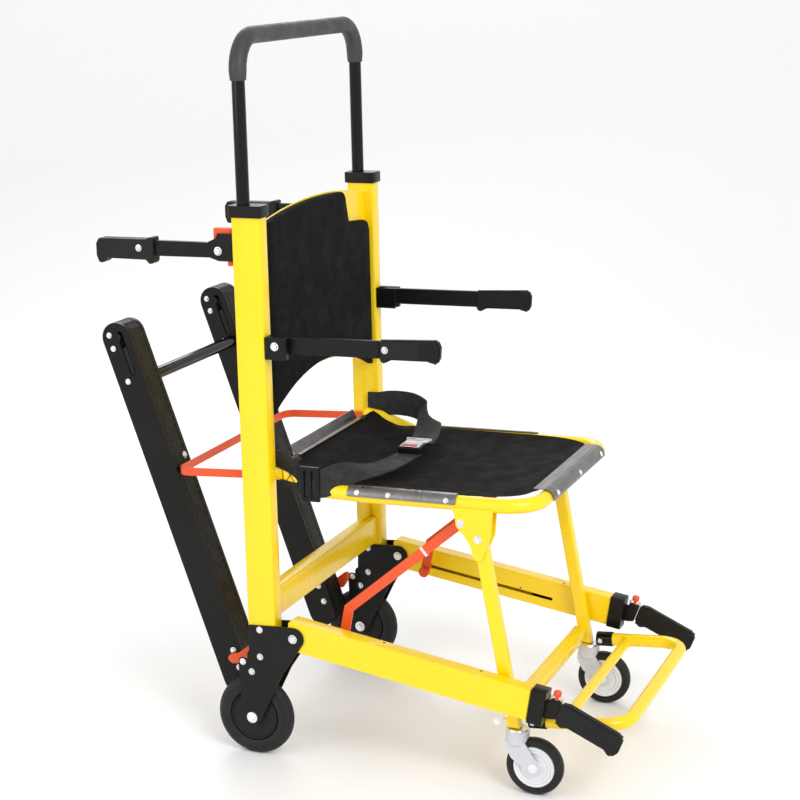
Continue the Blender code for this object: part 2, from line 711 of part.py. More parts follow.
# ---------------------------------------------------------------- fold links
def bent_bar(a, knee, b, half, steps=5):
    """Outline of a flat bar from a through a bend to b, with round ends."""
    run_a = math.atan2(a[1] - knee[1], a[0] - knee[0])
    run_b = math.atan2(b[1] - knee[1], b[0] - knee[0])
    middle = (run_a + run_b) / 2
    reach = half / math.sin(abs(run_b - run_a) / 2)
    inside = (knee[0] + reach * math.cos(middle), knee[1] + reach * math.sin(middle))
    outside = (knee[0] - reach * math.cos(middle), knee[1] - reach * math.sin(middle))
    deg_a, deg_b = math.degrees(run_a), math.degrees(run_b)
    end_a = arc(a, half, deg_a - 90, deg_a + 90, steps)
    end_b = arc(b, half, deg_b - 90, deg_b + 90, steps)
    if math.dist(end_a[-1], inside) < math.dist(end_a[-1], outside):
        return end_a + [inside] + end_b + [outside]
    return end_a + [outside] + end_b + [inside]


def fold_link():
    pin = on_rail(SLOT_REAR + 0.006, SLOT_T)
    outline = bent_bar(LINK_TOP, (-0.1615, 0.2664), pin, 0.0085)
    return prism_x(outline, LINK_X - LINK_T / 2, LINK_X + LINK_T / 2)


def fold_pin():
    pin = on_rail(SLOT_REAR + 0.006, SLOT_T)
    return rod((LINK_X, *pin), (POST_X - RAIL_W / 2 - 0.0004, *pin), 0.0040, 12)


# ---------------------------------------------------------------- tracks
def track_belt():
    outer = capsule(TRACK_FOOT, TRACK_HEAD, TRACK_R, 12)
    inner = capsule(TRACK_FOOT, TRACK_HEAD, TRACK_R - BELT_T, 12)
    half = TRACK_W / 2 - 0.010
    return pipe_x(outer, inner, TRACK_X - half, TRACK_X + half)


def track_beam():
    """Rounded housing inside the belt, with two flanges that stand beside it."""
    core = capsule(TRACK_FOOT, TRACK_HEAD, TRACK_R - BELT_T - GAP, 12)
    return prism_x(core, TRACK_X - TRACK_W / 2 + 0.006, TRACK_X + TRACK_W / 2 - 0.006)


def track_flange(x0, x1):
    return prism_x(capsule(TRACK_FOOT, TRACK_HEAD, TRACK_R - 0.0005, 12), x0, x1)


def track_flange_outer():
    edge = TRACK_X + TRACK_W / 2
    return track_flange(edge - 0.0095, edge)


def track_flange_inner():
    edge = TRACK_X - TRACK_W / 2
    return track_flange(edge, edge + 0.0095)


def along_track(distance, offset=0.0):
    """(y, z) on the track's middle line, distance down from the head, offset forward."""
    dy, dz = TRACK_FOOT[0] - TRACK_HEAD[0], TRACK_FOOT[1] - TRACK_HEAD[1]
    length = math.hypot(dy, dz)
    u, v = dy / length, dz / length
    return (TRACK_HEAD[0] + u * distance + v * offset, TRACK_HEAD[1] + v * distance - u * offset)


def track_window():
    """Long window in both side walls near the head, where the sprocket shows."""
    outline = capsule(along_track(0.066, 0.009), along_track(-0.004, 0.009), 0.0055, 4)
    return prism_x(outline, TRACK_X - 0.04, TRACK_X + 0.04)


def track_long_slot():
    """Adjusting slot low on the inner wall."""
    outline = capsule(along_track(0.300), along_track(0.360), 0.005, 4)
    return prism_x(outline, TRACK_X - 0.04, TRACK_X - 0.008)


def track_cross_tube():
    y, z = along_track(0.083, 0.010)
    half = TRACK_X - TRACK_W / 2 - GAP
    return rod((-half, y, z), (half, y, z), 0.011, 16)


def track_brace():
    """Flat bar bent to a U: two arms from the posts and a bar in front of the tracks."""
    y0, z0 = BRACE_PIVOT
    x = 0.2205
    arm_end = (0.1430, 0.4910)
    path = round_path([(-x, y0 - 0.010, z0), (-x, *arm_end), (x, *arm_end), (x, y0 - 0.010, z0)],
                      0.020, 4)
    across = [(0, 0.06, 1)] * len(path)
    return ribbon(path, across, 0.014, 0.004)


def track_latch():
    """Foot lever beside the track's foot."""
    outline = [(0.0300, 0.1500), (0.0560, 0.1480), (0.0640, 0.1560), (0.0600, 0.1640),
               (0.0420, 0.1690), (0.0260, 0.1820), (0.0180, 0.1820), (0.0180, 0.1680)]
    return soften(prism_x(outline, 0.2115, 0.2195), 0.0015)


# ---------------------------------------------------------------- assembly
def build_back(chair):
    chair.pair("back_post", post, "yellow_paint")
    chair.pair("post_cap", post_cap, "black_paint")
    chair.piece("rear_crossbar", rear_crossbar(), "yellow_paint")
    chair.piece("backrest_sheet", backrest_sheet(), "yellow_paint")
    chair.piece("backrest_pad", backrest_pad(), "black_fabric")
    parts = ((bracket_web, "UNION"), (bracket_axle, "UNION"), (bracket_inner, "UNION"))
    chair.pair("wheel_bracket", bracket_outer, "black_paint", extras=parts)
    chair.pair("rear_wheel", rear_wheel, "rubber", (POST_X, *AXLE))


def build_handles(chair):
    chair.piece("upper_handle_tube", sweep(handle_path(HANDLE_FOOT), HANDLE_R, 12), "handle_tube")
    sleeve = sweep(handle_path(GRIP_START), GRIP_R, 12, HANDLE_R + 0.0009)
    chair.piece("upper_handle_grip", sleeve, "black_grip")
    pivot = (POST_X, *REAR_HANDLE_PIVOT)
    chair.pair("rear_handle_bracket", rear_handle_bracket, "black_paint")
    chair.pair("rear_handle_lever", rear_lever, "black_paint", pivot)
    chair.pair("rear_handle_grip", rear_grip, "black_grip", pivot)
    chair.pair("rear_handle_latch", rear_latch, "orange_paint")
    pivot = (POST_X, *ARM_PIVOT)
    chair.pair("armrest_bracket", arm_bracket, "black_paint")
    chair.pair("armrest_bar", arm_bar, "black_paint", pivot)
    chair.pair("armrest_grip", arm_grip, "black_grip", pivot)


def build_base(chair):
    pivot = (POST_X, *RAIL_PIVOT)
    cuts = ((rail_bore, "DIFFERENCE"), (rail_slot, "DIFFERENCE"))
    chair.pair("lower_rail", rail, "yellow_paint", pivot, extras=cuts)
    chair.pair("front_clamp", front_clamp, "black_paint", pivot)
    chair.pair("front_handle_bar", front_bar, "black_paint", pivot)
    chair.pair("front_handle_grip", front_grip, "black_grip", pivot)
    chair.pair("front_knob", front_knob, "orange_paint", pivot)
    pivot = (LEG_X, *RAIL_LEG_PIVOT)
    chair.pair("seat_leg", leg, "yellow_paint", pivot)
    chair.piece("leg_crossbar", leg_crossbar(), "yellow_paint", (0, *RAIL_LEG_PIVOT))
    bow = chair.solid("footrest", footrest_bow())
    chair.combine(bow, footrest_step(), "UNION")
    chair.place(bow, "yellow_paint", (0, *FOOTREST_PIVOT))


def build_casters(chair):
    parts = ((caster_fork, "UNION"), (caster_pocket, "DIFFERENCE"), (caster_axle, "UNION"))
    pivot = (CASTER_X, CASTER_STEM_Y, CASTER_TOP)
    chair.pair("caster_fork", caster_cheeks, "caster_plastic", pivot, True, extras=parts)
    axle = (CASTER_X, CASTER_AXLE_Y, CASTER_R)
    chair.pair("caster_wheel", caster_wheel, "caster_plastic", axle, True)


def build_seat(chair):
    pivot = (0, *SEAT_PIVOT)
    frame = chair.solid("seat_frame", seat_bow())
    chair.combine(frame, seat_rear_bar(), "UNION")
    for plate in (gusset_outer, gusset_inner):
        chair.combine(frame, plate(), "UNION")
        chair.combine(frame, mirrored(plate()), "UNION")
    chair.place(frame, "yellow_paint", pivot)
    panel = chair.solid("seat_panel", seat_panel())
    chair.combine(panel, seat_tongue(), "UNION")
    chair.place(panel, "black_fabric", pivot)
    chair.piece("belt_right", belt_right(), "webbing", pivot)
    chair.piece("belt_left", belt_left(), "webbing", pivot)
    chair.piece("belt_buckle", belt_buckle(), "buckle", pivot)
    chair.pair("fold_link", fold_link, "orange_paint", (LINK_X, *LINK_TOP),
               extras=((fold_pin, "UNION"),))


def build_tracks(chair):
    pivot = (TRACK_X, *TRACK_FOOT)
    parts = ((track_flange_outer, "UNION"), (track_flange_inner, "UNION"),
             (track_window, "DIFFERENCE"), (track_long_slot, "DIFFERENCE"))
    chair.pair("track_beam", track_beam, "black_paint", pivot, extras=parts)
    chair.pair("track_belt", track_belt, "rubber", pivot)
    chair.piece("track_cross_tube", track_cross_tube(), "black_paint", (0, *TRACK_FOOT))
    chair.piece("track_brace", track_brace(), "orange_paint", (0, *BRACE_PIVOT))
    chair.pair("track_latch", track_latch, "orange_paint", (0.2155, 0.022, 0.175))


def main():
    clear_scene()
    chair = Chair()
    build_back(chair)
    build_handles(chair)
    build_base(chair)
    build_casters(chair)
    build_seat(chair)
    build_tracks(chair)


main()
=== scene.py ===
"""Looks of a folding stair chair: paint, rubber, fabric, webbing, bolts and fine shapes.

The chair is drawn with its posts upright, as (x, y, z) in metres from the rear axle's y, with
+Z up and the front at -Y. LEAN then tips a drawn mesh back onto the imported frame.
"""
import json
import math

import bmesh
import bpy
from mathutils import Matrix, Vector

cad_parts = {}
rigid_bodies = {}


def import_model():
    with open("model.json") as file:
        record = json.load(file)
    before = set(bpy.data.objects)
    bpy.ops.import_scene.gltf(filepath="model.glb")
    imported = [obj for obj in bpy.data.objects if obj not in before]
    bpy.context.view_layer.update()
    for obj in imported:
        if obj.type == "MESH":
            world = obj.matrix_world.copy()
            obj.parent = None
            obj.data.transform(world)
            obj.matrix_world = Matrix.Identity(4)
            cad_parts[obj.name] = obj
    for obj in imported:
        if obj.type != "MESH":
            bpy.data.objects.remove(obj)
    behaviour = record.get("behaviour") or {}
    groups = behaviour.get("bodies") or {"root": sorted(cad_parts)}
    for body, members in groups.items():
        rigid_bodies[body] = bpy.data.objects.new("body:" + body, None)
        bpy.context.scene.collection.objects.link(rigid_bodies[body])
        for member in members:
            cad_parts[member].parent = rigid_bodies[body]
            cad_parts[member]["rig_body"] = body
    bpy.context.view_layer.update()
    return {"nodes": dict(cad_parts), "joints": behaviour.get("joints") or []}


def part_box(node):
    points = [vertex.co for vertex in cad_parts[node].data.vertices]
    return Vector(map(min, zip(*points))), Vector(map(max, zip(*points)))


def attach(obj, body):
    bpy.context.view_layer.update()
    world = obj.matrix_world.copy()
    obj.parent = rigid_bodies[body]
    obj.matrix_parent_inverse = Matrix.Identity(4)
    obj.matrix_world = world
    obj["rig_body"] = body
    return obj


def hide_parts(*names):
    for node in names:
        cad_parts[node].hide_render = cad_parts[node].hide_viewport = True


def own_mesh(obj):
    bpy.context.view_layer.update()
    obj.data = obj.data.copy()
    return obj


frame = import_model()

NODES = frame["nodes"]
JOINTS = {joint["name"]: joint for joint in frame["joints"]}
SIDES = ((1, "left"), (-1, "right"))

# ---------------------------------------------------------------- the leaning frame
UP = Vector(JOINTS["upper_handle_slide"]["axis"]).normalized()
BACK = UP.cross(Vector((1, 0, 0)))
WHEEL_PIVOT = Vector(JOINTS["rear_wheel_spin_left"]["pos_m"])
POST_X, AXLE_Z = WHEEL_PIVOT.x, WHEEL_PIVOT.z
CHEEK = 0.0184            # a bracket cheek's outer face, from POST_X
ORIGIN = Vector((0, WHEEL_PIVOT.y, AXLE_Z)) - UP * AXLE_Z
LEAN = Matrix((
    (1, 0, 0, 0),
    (0, BACK.y, UP.y, ORIGIN.y),
    (0, BACK.z, UP.z, ORIGIN.z),
    (0, 0, 0, 1)))
UNLEAN = LEAN.inverted()


def drawn(joint):
    """A joint's place in drawn coordinates."""
    return UNLEAN @ Vector(JOINTS[joint]["pos_m"])


RAIL_PIVOT = drawn("fold")
SEAT_PIVOT = drawn("seat_hinge")
RAIL_LEG = drawn("leg_hinge")
SEAT_LEG = SEAT_PIVOT + RAIL_LEG - RAIL_PIVOT
LINK_TOP = drawn("fold_link_hinge")
REAR_HANDLE = drawn("rear_handle_fold_left")
ARM_PIVOT = drawn("armrest_fold_left")
TRACK_FOOT = drawn("track_swing")
TRACK_HEAD, TRACK_X = Vector((0, 0.2565, 0.717)), 0.1825
TRACK_DOWN = (TRACK_FOOT - TRACK_HEAD).normalized()
TRACK_AHEAD = Vector((0, TRACK_DOWN.z, -TRACK_DOWN.y))
TRACK_LENGTH = (TRACK_FOOT - TRACK_HEAD).length
RAIL_DIR = (UNLEAN.to_3x3() @ Vector(JOINTS["front_handle_slide_left"]["axis"])).normalized()
RAIL_UP = Vector((0, RAIL_DIR.z, -RAIL_DIR.y))


def on_track(distance, offset, x=0.0):
    """Drawn point distance down a track from its head and offset ahead of its middle."""
    point = TRACK_HEAD + TRACK_DOWN * distance + TRACK_AHEAD * offset
    return Vector((x, point.y, point.z))


def on_rail(s, t, x=0.0):
    """Drawn point s forward along a rail from its pivot and t above the pivot line."""
    point = RAIL_PIVOT + RAIL_DIR * s + RAIL_UP * t
    return Vector((x, point.y, point.z))


# ---------------------------------------------------------------- materials
class Nodes:
    """A Principled material with helpers for noise, ramps and bump."""

    def __init__(self, name, colour, rough, metal=0.0, sheen=0.0, coat=0.0, specular=0.5):
        self.mat = bpy.data.materials.new(name)
        self.mat.use_nodes = True
        self.tree = self.mat.node_tree
        self.shader = self.tree.nodes["Principled BSDF"]
        values = {"Base Color": (*colour, 1.0), "Roughness": rough, "Metallic": metal,
                  "Sheen Weight": sheen, "Coat Weight": coat, "Specular IOR Level": specular}
        for key, value in values.items():
            self.shader.inputs[key].default_value = value
        self.mat.diffuse_color = (*colour, 1.0)
        self.colour = colour
        self.height = None

    def add(self, kind, **values):
        node = self.tree.nodes.new(kind)
        for key, value in values.items():
            if hasattr(node, key):
                setattr(node, key, value)
            else:
                node.inputs[key.replace("_", " ")].default_value = value
        return node

    def link(self, out, into):
        self.tree.links.new(out, into)

    def coords(self, stretch=(1, 1, 1)):
        """Object coordinates, so that a texture keeps its scale on every piece."""
        place = self.add("ShaderNodeTexCoord")
        mapping = self.add("ShaderNodeMapping", Scale=stretch)
        self.link(place.outputs["Object"], mapping.inputs["Vector"])
        return mapping.outputs["Vector"]

    def noise(self, scale, detail, stretch=(1, 1, 1), rough=0.55):
        node = self.add("ShaderNodeTexNoise", Scale=scale, Detail=detail, Roughness=rough)
        self.link(self.coords(stretch), node.inputs["Vector"])
        return node.outputs["Fac"]

    def wave(self, scale, direction, distortion):
        node = self.add("ShaderNodeTexWave", wave_type="BANDS", bands_direction=direction,
                        wave_profile="SIN", Scale=scale, Distortion=distortion)
        self.link(self.coords(), node.inputs["Vector"])
        return node.outputs["Fac"]

    def spread(self, fac, low, high, start=0.35, end=0.65):
        """Map a factor to a range of values."""
        node = self.add("ShaderNodeMapRange", From_Min=start, From_Max=end, To_Min=low,
                        To_Max=high)
        self.link(fac, node.inputs["Value"])
        return node.outputs["Result"]

    def mix(self, fac, a, b):
        """Blend two colours by a factor."""
        node = self.add("ShaderNodeMix", data_type="RGBA")
        self.link(fac, node.inputs["Factor"])
        for key, value in ((6, a), (7, b)):
            if isinstance(value, tuple):
                node.inputs[key].default_value = (*value, 1.0)
            else:
                self.link(value, node.inputs[key])
        return node.outputs[2]

    def shade(self, amount):
        return tuple(min(1.0, c * amount) for c in self.colour)

    def bump(self, fac, strength, distance):
        """Add a bump layer on top of those already there."""
        node = self.add("ShaderNodeBump", Strength=strength, Distance=distance)
        self.link(fac, node.inputs["Height"])
        if self.height is not None:
            self.link(self.height, node.inputs["Normal"])
        self.height = node.outputs["Normal"]
        self.link(self.height, self.shader.inputs["Normal"])

    def colour_from(self, socket):
        self.link(socket, self.shader.inputs["Base Color"])

    def rough_from(self, socket):
        self.link(socket, self.shader.inputs["Roughness"])


def make_paint(name, colour, rough, peel, coat=0.0, mottle=0.94, specular=0.5):
    """Powder coat: faint orange peel, cloudy gloss, a few rubbed and dusty places."""
    m = Nodes(name, colour, rough, coat=coat, specular=specular)
    cloud = m.spread(m.noise(7.0, 5.0), 0.0, 1.0)
    base = m.mix(cloud, m.shade(mottle), colour)
    scratch = m.spread(m.noise(60.0, 8.0, (1.0, 1.0, 0.08), 0.7), 0.0, 0.22, 0.66, 0.80)
    m.colour_from(m.mix(scratch, base, m.shade(0.72)))
    m.rough_from(m.spread(m.noise(16.0, 6.0), rough * 0.82, rough * 1.3))
    m.bump(m.noise(520.0, 2.0), peel, 0.0006)
    return m.mat


def make_rubber(name, colour, rough, grain=0.22, specular=0.25):
    """Moulded rubber or grip plastic with a fine spark texture and rubbed highlights."""
    m = Nodes(name, colour, rough, specular=specular)
    m.colour_from(m.mix(m.spread(m.noise(22.0, 6.0), 0.0, 1.0), m.shade(0.8), m.shade(1.22)))
    m.rough_from(m.spread(m.noise(40.0, 6.0), rough * 0.85, min(1.0, rough * 1.2)))
    m.bump(m.noise(1500.0, 2.0), grain, 0.0005)
    return m.mat


def make_fabric(name, colour, pitch=0.0011):
    """Plain weave of coated yarn: a set of ribs along each axis, with slubs and lint."""
    m = Nodes(name, colour, 0.86, sheen=0.01, specular=0.08)
    ribs = [m.wave(0.314 / pitch, axis, 0.6) for axis in "XYZ"]
    slub = m.noise(240.0, 4.0, (1.0, 0.15, 1.0))
    m.colour_from(m.mix(m.spread(slub, 0.0, 1.0), m.shade(0.7), m.shade(1.5)))
    m.rough_from(m.spread(m.noise(30.0, 5.0), 0.74, 0.95))
    for rib in ribs:
        m.bump(rib, 0.30, 0.0004)
    m.bump(m.noise(28.0, 3.0), 0.16, 0.002)
    return m.mat


def make_webbing(name, colour):
    """Seat-belt webbing: fine lengthwise ribs with a herringbone shimmer."""
    m = Nodes(name, colour, 0.62, sheen=0.03, specular=0.20)
    m.colour_from(m.mix(m.spread(m.noise(90.0, 5.0), 0.0, 1.0), m.shade(0.72), m.shade(1.45)))
    m.bump(m.wave(170.0, "DIAGONAL", 1.2), 0.35, 0.0005)
    m.bump(m.wave(150.0, "Z", 0.8), 0.25, 0.0004)
    m.rough_from(m.spread(m.noise(45.0, 5.0), 0.5, 0.78))
    return m.mat


def make_metal(name, colour, rough, brushed=(1.0, 1.0, 1.0)):
    """Plated or brushed metal with fine drawn lines and fingerprints."""
    m = Nodes(name, colour, rough, metal=1.0)
    lines = m.noise(260.0, 6.0, brushed)
    m.colour_from(m.mix(m.spread(m.noise(34.0, 5.0), 0.0, 1.0), m.shade(0.86), m.shade(1.08)))
    m.rough_from(m.spread(lines, rough * 0.7, min(1.0, rough * 1.5)))
    m.bump(lines, 0.12, 0.0003)
    return m.mat


def make_plastic(name, colour, rough, specular=0.5):
    """Injection moulding: smooth with faint flow clouding and dust in the lows."""
    m = Nodes(name, colour, rough, specular=specular)
    m.colour_from(m.mix(m.spread(m.noise(12.0, 6.0), 0.0, 1.0), m.shade(0.9), colour))
    m.rough_from(m.spread(m.noise(24.0, 5.0), rough * 0.8, rough * 1.35))
    m.bump(m.noise(700.0, 2.0), 0.05, 0.0004)
    return m.mat


YELLOW = make_paint("yellow_powder_coat", (1.0, 0.69, 0.0), 0.27, 0.05, coat=0.2, mottle=0.97)
BLACK = make_paint("black_powder_coat", (0.007, 0.0068, 0.0062), 0.34, 0.14, mottle=0.8,
                   specular=0.22)
BEAM = make_paint("beam_powder_coat", (0.0065, 0.0062, 0.0055), 0.33, 0.16, mottle=0.75,
                  specular=0.20)
ORANGE = make_paint("orange_powder_coat", (0.80, 0.085, 0.012), 0.33, 0.08)
GRIP = make_rubber("grip_rubber", (0.008, 0.008, 0.008), 0.46)
FOAM = make_rubber("handle_foam", (0.036, 0.038, 0.038), 0.50, 0.30, 0.45)
TYRE = make_rubber("tyre_rubber", (0.014, 0.0145, 0.0155), 0.52)
BELT = make_rubber("track_rubber", (0.008, 0.008, 0.008), 0.5)
GLOSS = make_plastic("gloss_black_tube", (0.003, 0.003, 0.003), 0.12, 0.30)
SOCKET = make_plastic("black_moulding", (0.004, 0.004, 0.004), 0.32, 0.25)
PALE = make_plastic("caster_moulding", (0.62, 0.635, 0.67), 0.34)
HUB = make_plastic("white_hub", (0.80, 0.81, 0.84), 0.30)
RED = make_plastic("red_button", (0.62, 0.02, 0.02), 0.3)
PAD = make_fabric("backrest_cloth", (0.0062, 0.0060, 0.0062))
CLOTH = make_fabric("seat_cloth", (0.0080, 0.0070, 0.0068), 0.0013)
WEBBING = make_webbing("belt_webbing", (0.022, 0.022, 0.021))
THREAD = make_fabric("stitching", (0.02, 0.02, 0.02), 0.0006)
ZINC = make_metal("zinc_bolt", (0.88, 0.88, 0.89), 0.26)
STRIP = make_metal("seat_strip", (0.24, 0.23, 0.225), 0.38, (0.05, 1.0, 1.0))
STEEL = make_metal("buckle_steel", (0.62, 0.61, 0.61), 0.24, (1.0, 0.2, 1.0))


# ---------------------------------------------------------------- mesh helpers
def finish(bm, name, mat, body, replaced=(), bevel=0.0, segments=2, smooth=38.0,
           lean=True):
    """Turn a drawn BMesh into a piece that rides on a body and stands for CAD nodes."""
    bmesh.ops.recalc_face_normals(bm, faces=bm.faces)
    mesh = bpy.data.meshes.new(name)
    bm.to_mesh(mesh)
    bm.free()
    if lean:
        mesh.transform(LEAN)
    item = bpy.data.objects.new(name, mesh)
    bpy.context.scene.collection.objects.link(item)
    mesh.materials.append(mat)
    mesh.shade_smooth()
    mesh.set_sharp_from_angle(angle=math.radians(smooth))
    if bevel:
        edge = item.modifiers.new("edges", "BEVEL")
        edge.width = bevel
        edge.segments = segments
        edge.limit_method = "ANGLE"
        edge.angle_limit = math.radians(30)
        edge.harden_normals = True
    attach(item, body)
    if replaced:
        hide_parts(*replaced)
    return item


def from_cad(node, mat, bevel, segments=2):
    """A CAD node's own shape with merged faces, softened edges and a real finish."""
    source = NODES[node]
    bm = bmesh.new()
    bm.from_mesh(source.data)
    bmesh.ops.remove_doubles(bm, verts=bm.verts, dist=1e-5)
    bmesh.ops.dissolve_limit(bm, angle_limit=math.radians(1.0), verts=bm.verts, edges=bm.edges)
    return finish(bm, node + "_look", mat, source["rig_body"], (node,), bevel, segments,
                  lean=False)


def loft(bm, rings, caps=True, loop=False):
    """Skin rings that have the same number of points."""
    rows = [[bm.verts.new(p) for p in ring] for ring in rings]
    count = len(rows[0])
    pairs = list(zip(rows, rows[1:])) + ([(rows[-1], rows[0])] if loop else [])
    for low, high in pairs:
        for i in range(count):
            j = (i + 1) % count
            bm.faces.new((low[i], low[j], high[j], high[i]))
    if caps and not loop:
        bm.faces.new(rows[0][::-1])
        bm.faces.new(rows[-1])
    return bm


def prism(bm, outline, x0, x1):
    """Block between two x planes from an outline of (y, z) points."""
    return loft(bm, [[(x, y, z) for y, z in outline] for x in (x0, x1)])


def arc(centre, radius, start, end, steps):
    points = []
    for i in range(steps + 1):
        a = math.radians(start + (end - start) * i / steps)
        points.append((centre[0] + radius * math.cos(a), centre[1] + radius * math.sin(a)))
    return points


def plate(bm, outline, low, high):
    """Block between two levels from an outline of (x, y) points."""
    return loft(bm, [[(x, y, z) for x, y in outline] for z in (low, high)])


def plug(low, high, radius):
    """Profile of a plain round plug, from low to high along its axis."""
    return [(low, 0.0), (low, radius), (high, radius), (high, 0.0)]


def mirrored(profile):
    """A profile followed by its mirror image, as the two faces of a wheel."""
    return profile + [(-a, b) for a, b in profile[::-1]]


def around(axis):
    """An axis's direction and the two directions across it."""
    axis = Vector(axis).normalized()
    side = axis.orthogonal().normalized()
    return axis, side, axis.cross(side)


def lathe(bm, profile, centre, axis, count):
    """Turn an (along, radius) profile about an axis; a closed end lies on the axis."""
    axis, side, other = around(axis)
    centre = Vector(centre)
    rows = []
    for along, radius in profile:
        if radius < 1e-6:
            rows.append([bm.verts.new(centre + axis * along)])
            continue
        row = []
        for i in range(count):
            a = 2 * math.pi * i / count
            spoke = side * math.cos(a) + other * math.sin(a)
            row.append(bm.verts.new(centre + axis * along + spoke * radius))
        rows.append(row)
    for low, high in zip(rows, rows[1:]):
        for i in range(count):
            j = (i + 1) % count
            corners = [low[i % len(low)], low[j % len(low)], high[j % len(high)],
                       high[i % len(high)]]
            unique = list(dict.fromkeys(corners))
            if len(unique) > 2:
                bm.faces.new(unique)
    return bm


def round_path(corners, radius, steps):
    """Polyline through corners, each inner corner replaced by an arc."""
    pts = [Vector(c) for c in corners]
    path = [pts[0]]
    for before, corner, after in zip(pts, pts[1:], pts[2:]):
        u, v = (before - corner).normalized(), (after - corner).normalized()
        half = u.angle(v) / 2
        reach = radius / math.tan(half)
        centre = corner + (u + v).normalized() * (radius / math.sin(half))
        start = (corner + u * reach - centre).normalized()
        end = (corner + v * reach - centre).normalized()
        path += [centre + radius * start.slerp(end, i / steps) for i in range(steps + 1)]
    return path + [pts[-1]]


def catmull(a, b, c, d, t):
    """Point at t, 0 to 1, between b and c on a Catmull-Rom curve."""
    return 0.5 * (2 * b + (c - a) * t + (2 * a - 5 * b + 4 * c - d) * t * t
                  + (3 * b - a - 3 * c + d) * t ** 3)


def smooth_path(points, steps):
    """Catmull-Rom curve through points."""
    pts = [Vector(p) for p in points]
    pts = [2 * pts[0] - pts[1]] + pts + [2 * pts[-1] - pts[-2]]
    return [catmull(*four, i / steps) for four in zip(pts, pts[1:], pts[2:], pts[3:])
            for i in range(steps)] + [pts[-2]]


def frames_along(path):
    """Each point of a path with two directions across it that don't twist along it."""
    points = [Vector(p) for p in path]
    last = len(points) - 1
    tangents = [(points[min(i + 1, last)] - points[max(i - 1, 0)]).normalized()
                for i in range(last + 1)]
    side = tangents[0].orthogonal().normalized()
    frames = []
    for point, tangent in zip(points, tangents):
        side = (side - tangent * side.dot(tangent)).normalized()
        frames.append((point, side, tangent.cross(side)))
    return frames


def tube(bm, path, radius, count, tip=None):
    """Round bar along a path; tip is the radius of its first and last rings, if not the same."""
    frames = frames_along(path)
    rings = []
    for k, (point, side, up) in enumerate(frames):
        r = tip if tip and k in (0, len(frames) - 1) else radius
        rings.append([point + side * (r * math.cos(2 * math.pi * i / count))
                      + up * (r * math.sin(2 * math.pi * i / count)) for i in range(count)])
    return loft(bm, rings)


def strap(bm, path, across, width, thickness, steps):
    """Webbing along a path: rounded selvedges and a shallow crown across."""
    spine, wide = smooth_path(path, steps), smooth_path(across, steps)
    last = len(spine) - 1
    section = [(-1, 0), (-0.97, 0.5), (-0.86, 0.42), (-0.4, 0.5), (0, 0.5), (0.4, 0.5),
               (0.86, 0.42), (0.97, 0.5)]
    ring_shape = section + [(1, 0)] + [(a, -b) for a, b in section[1:][::-1]]
    rings = []
    for i, point in enumerate(spine):
        along = (spine[min(i + 1, last)] - spine[max(i - 1, 0)]).normalized()
        u = (wide[i] - along * wide[i].dot(along)).normalized()
        n = along.cross(u).normalized()
        rings.append([point + u * (a * width / 2) + n * (b * thickness) for a, b in ring_shape])
    return loft(bm, rings)


def slab(bm, centre, size, turn=None):
    """Box by its centre and full size, optionally turned by a matrix."""
    half = [s / 2 for s in size]
    turn = turn or Matrix.Identity(3)
    corners = [Vector(centre) + turn @ Vector((sx * half[0], sy * half[1], sz * half[2]))
               for sz in (-1, 1) for sx, sy in ((-1, -1), (1, -1), (1, 1), (-1, 1))]
    return loft(bm, [corners[:4], corners[4:]])


# ---------------------------------------------------------------- bolts
BUTTON = ((0, 0), (0, 1.28), (0.20, 1.28), (0.24, 1.20), (0.24, 1.0), (0.42, 0.97),
          (0.66, 0.80), (0.78, 0.50), (0.78, 0.42), (0.45, 0.38), (0.45, 0))


class Bolts:
    """Gathers the bolts of one body and makes them one piece at the end."""

    def __init__(self):
        self.meshes = {}

    def mesh(self, body):
        return self.meshes.setdefault(body, bmesh.new())

    def button(self, body, at, direction, radius):
        profile = [(a * radius, r * radius) for a, r in BUTTON]
        lathe(self.mesh(body), profile, at, direction, 18)

    def hexagon(self, body, at, direction, radius, height):
        """Hexagon head on a washer, with a chamfered crown."""
        bm = self.mesh(body)
        washer = [(0, 0), (0, 1.45 * radius), (0.16 * radius, 1.45 * radius),
                  (0.16 * radius, 0)]
        lathe(bm, washer, at, direction, 24)
        base = Vector(at) + Vector(direction).normalized() * 0.16 * radius
        head = [(0, 0), (0, radius), (height * 0.8, radius), (height, radius * 0.86),
                (height, 0)]
        lathe(bm, head, base, direction, 6)

    def both(self, body, x, y, z, radius):
        """The same button bolt on the outer faces of both sides."""
        for side, _ in SIDES:
            self.button(body, (side * x, y, z), (side, 0, 0), radius)

    def done(self):
        for body, bm in self.meshes.items():
            finish(bm, "bolts_" + body, ZINC, body, smooth=30.0)


bolts = Bolts()


# ---------------------------------------------------------------- painted frame
def make_frame():
    """The CAD shapes of posts, rails, legs, links, latches and brackets, painted."""
    for _, label in SIDES:
        from_cad("back_post_" + label, YELLOW, 0.0016, 3)
        from_cad("post_cap_" + label, BLACK, 0.0014, 3)
        from_cad("lower_rail_" + label, YELLOW, 0.0008, 2)
        from_cad("front_clamp_" + label, BLACK, 0.0018, 3)
        from_cad("seat_leg_" + label, YELLOW, 0.0012, 3)
        from_cad("fold_link_" + label, ORANGE, 0.0007, 2)
        from_cad("wheel_bracket_" + label, BLACK, 0.0007, 2)
        from_cad("track_latch_" + label, ORANGE, 0.001, 2)
    from_cad("rear_crossbar", YELLOW, 0.0014, 3)
    from_cad("leg_crossbar", YELLOW, 0.0014, 3)
    from_cad("backrest_sheet", YELLOW, 0.0005, 2)
    from_cad("track_brace", ORANGE, 0.0008, 2)


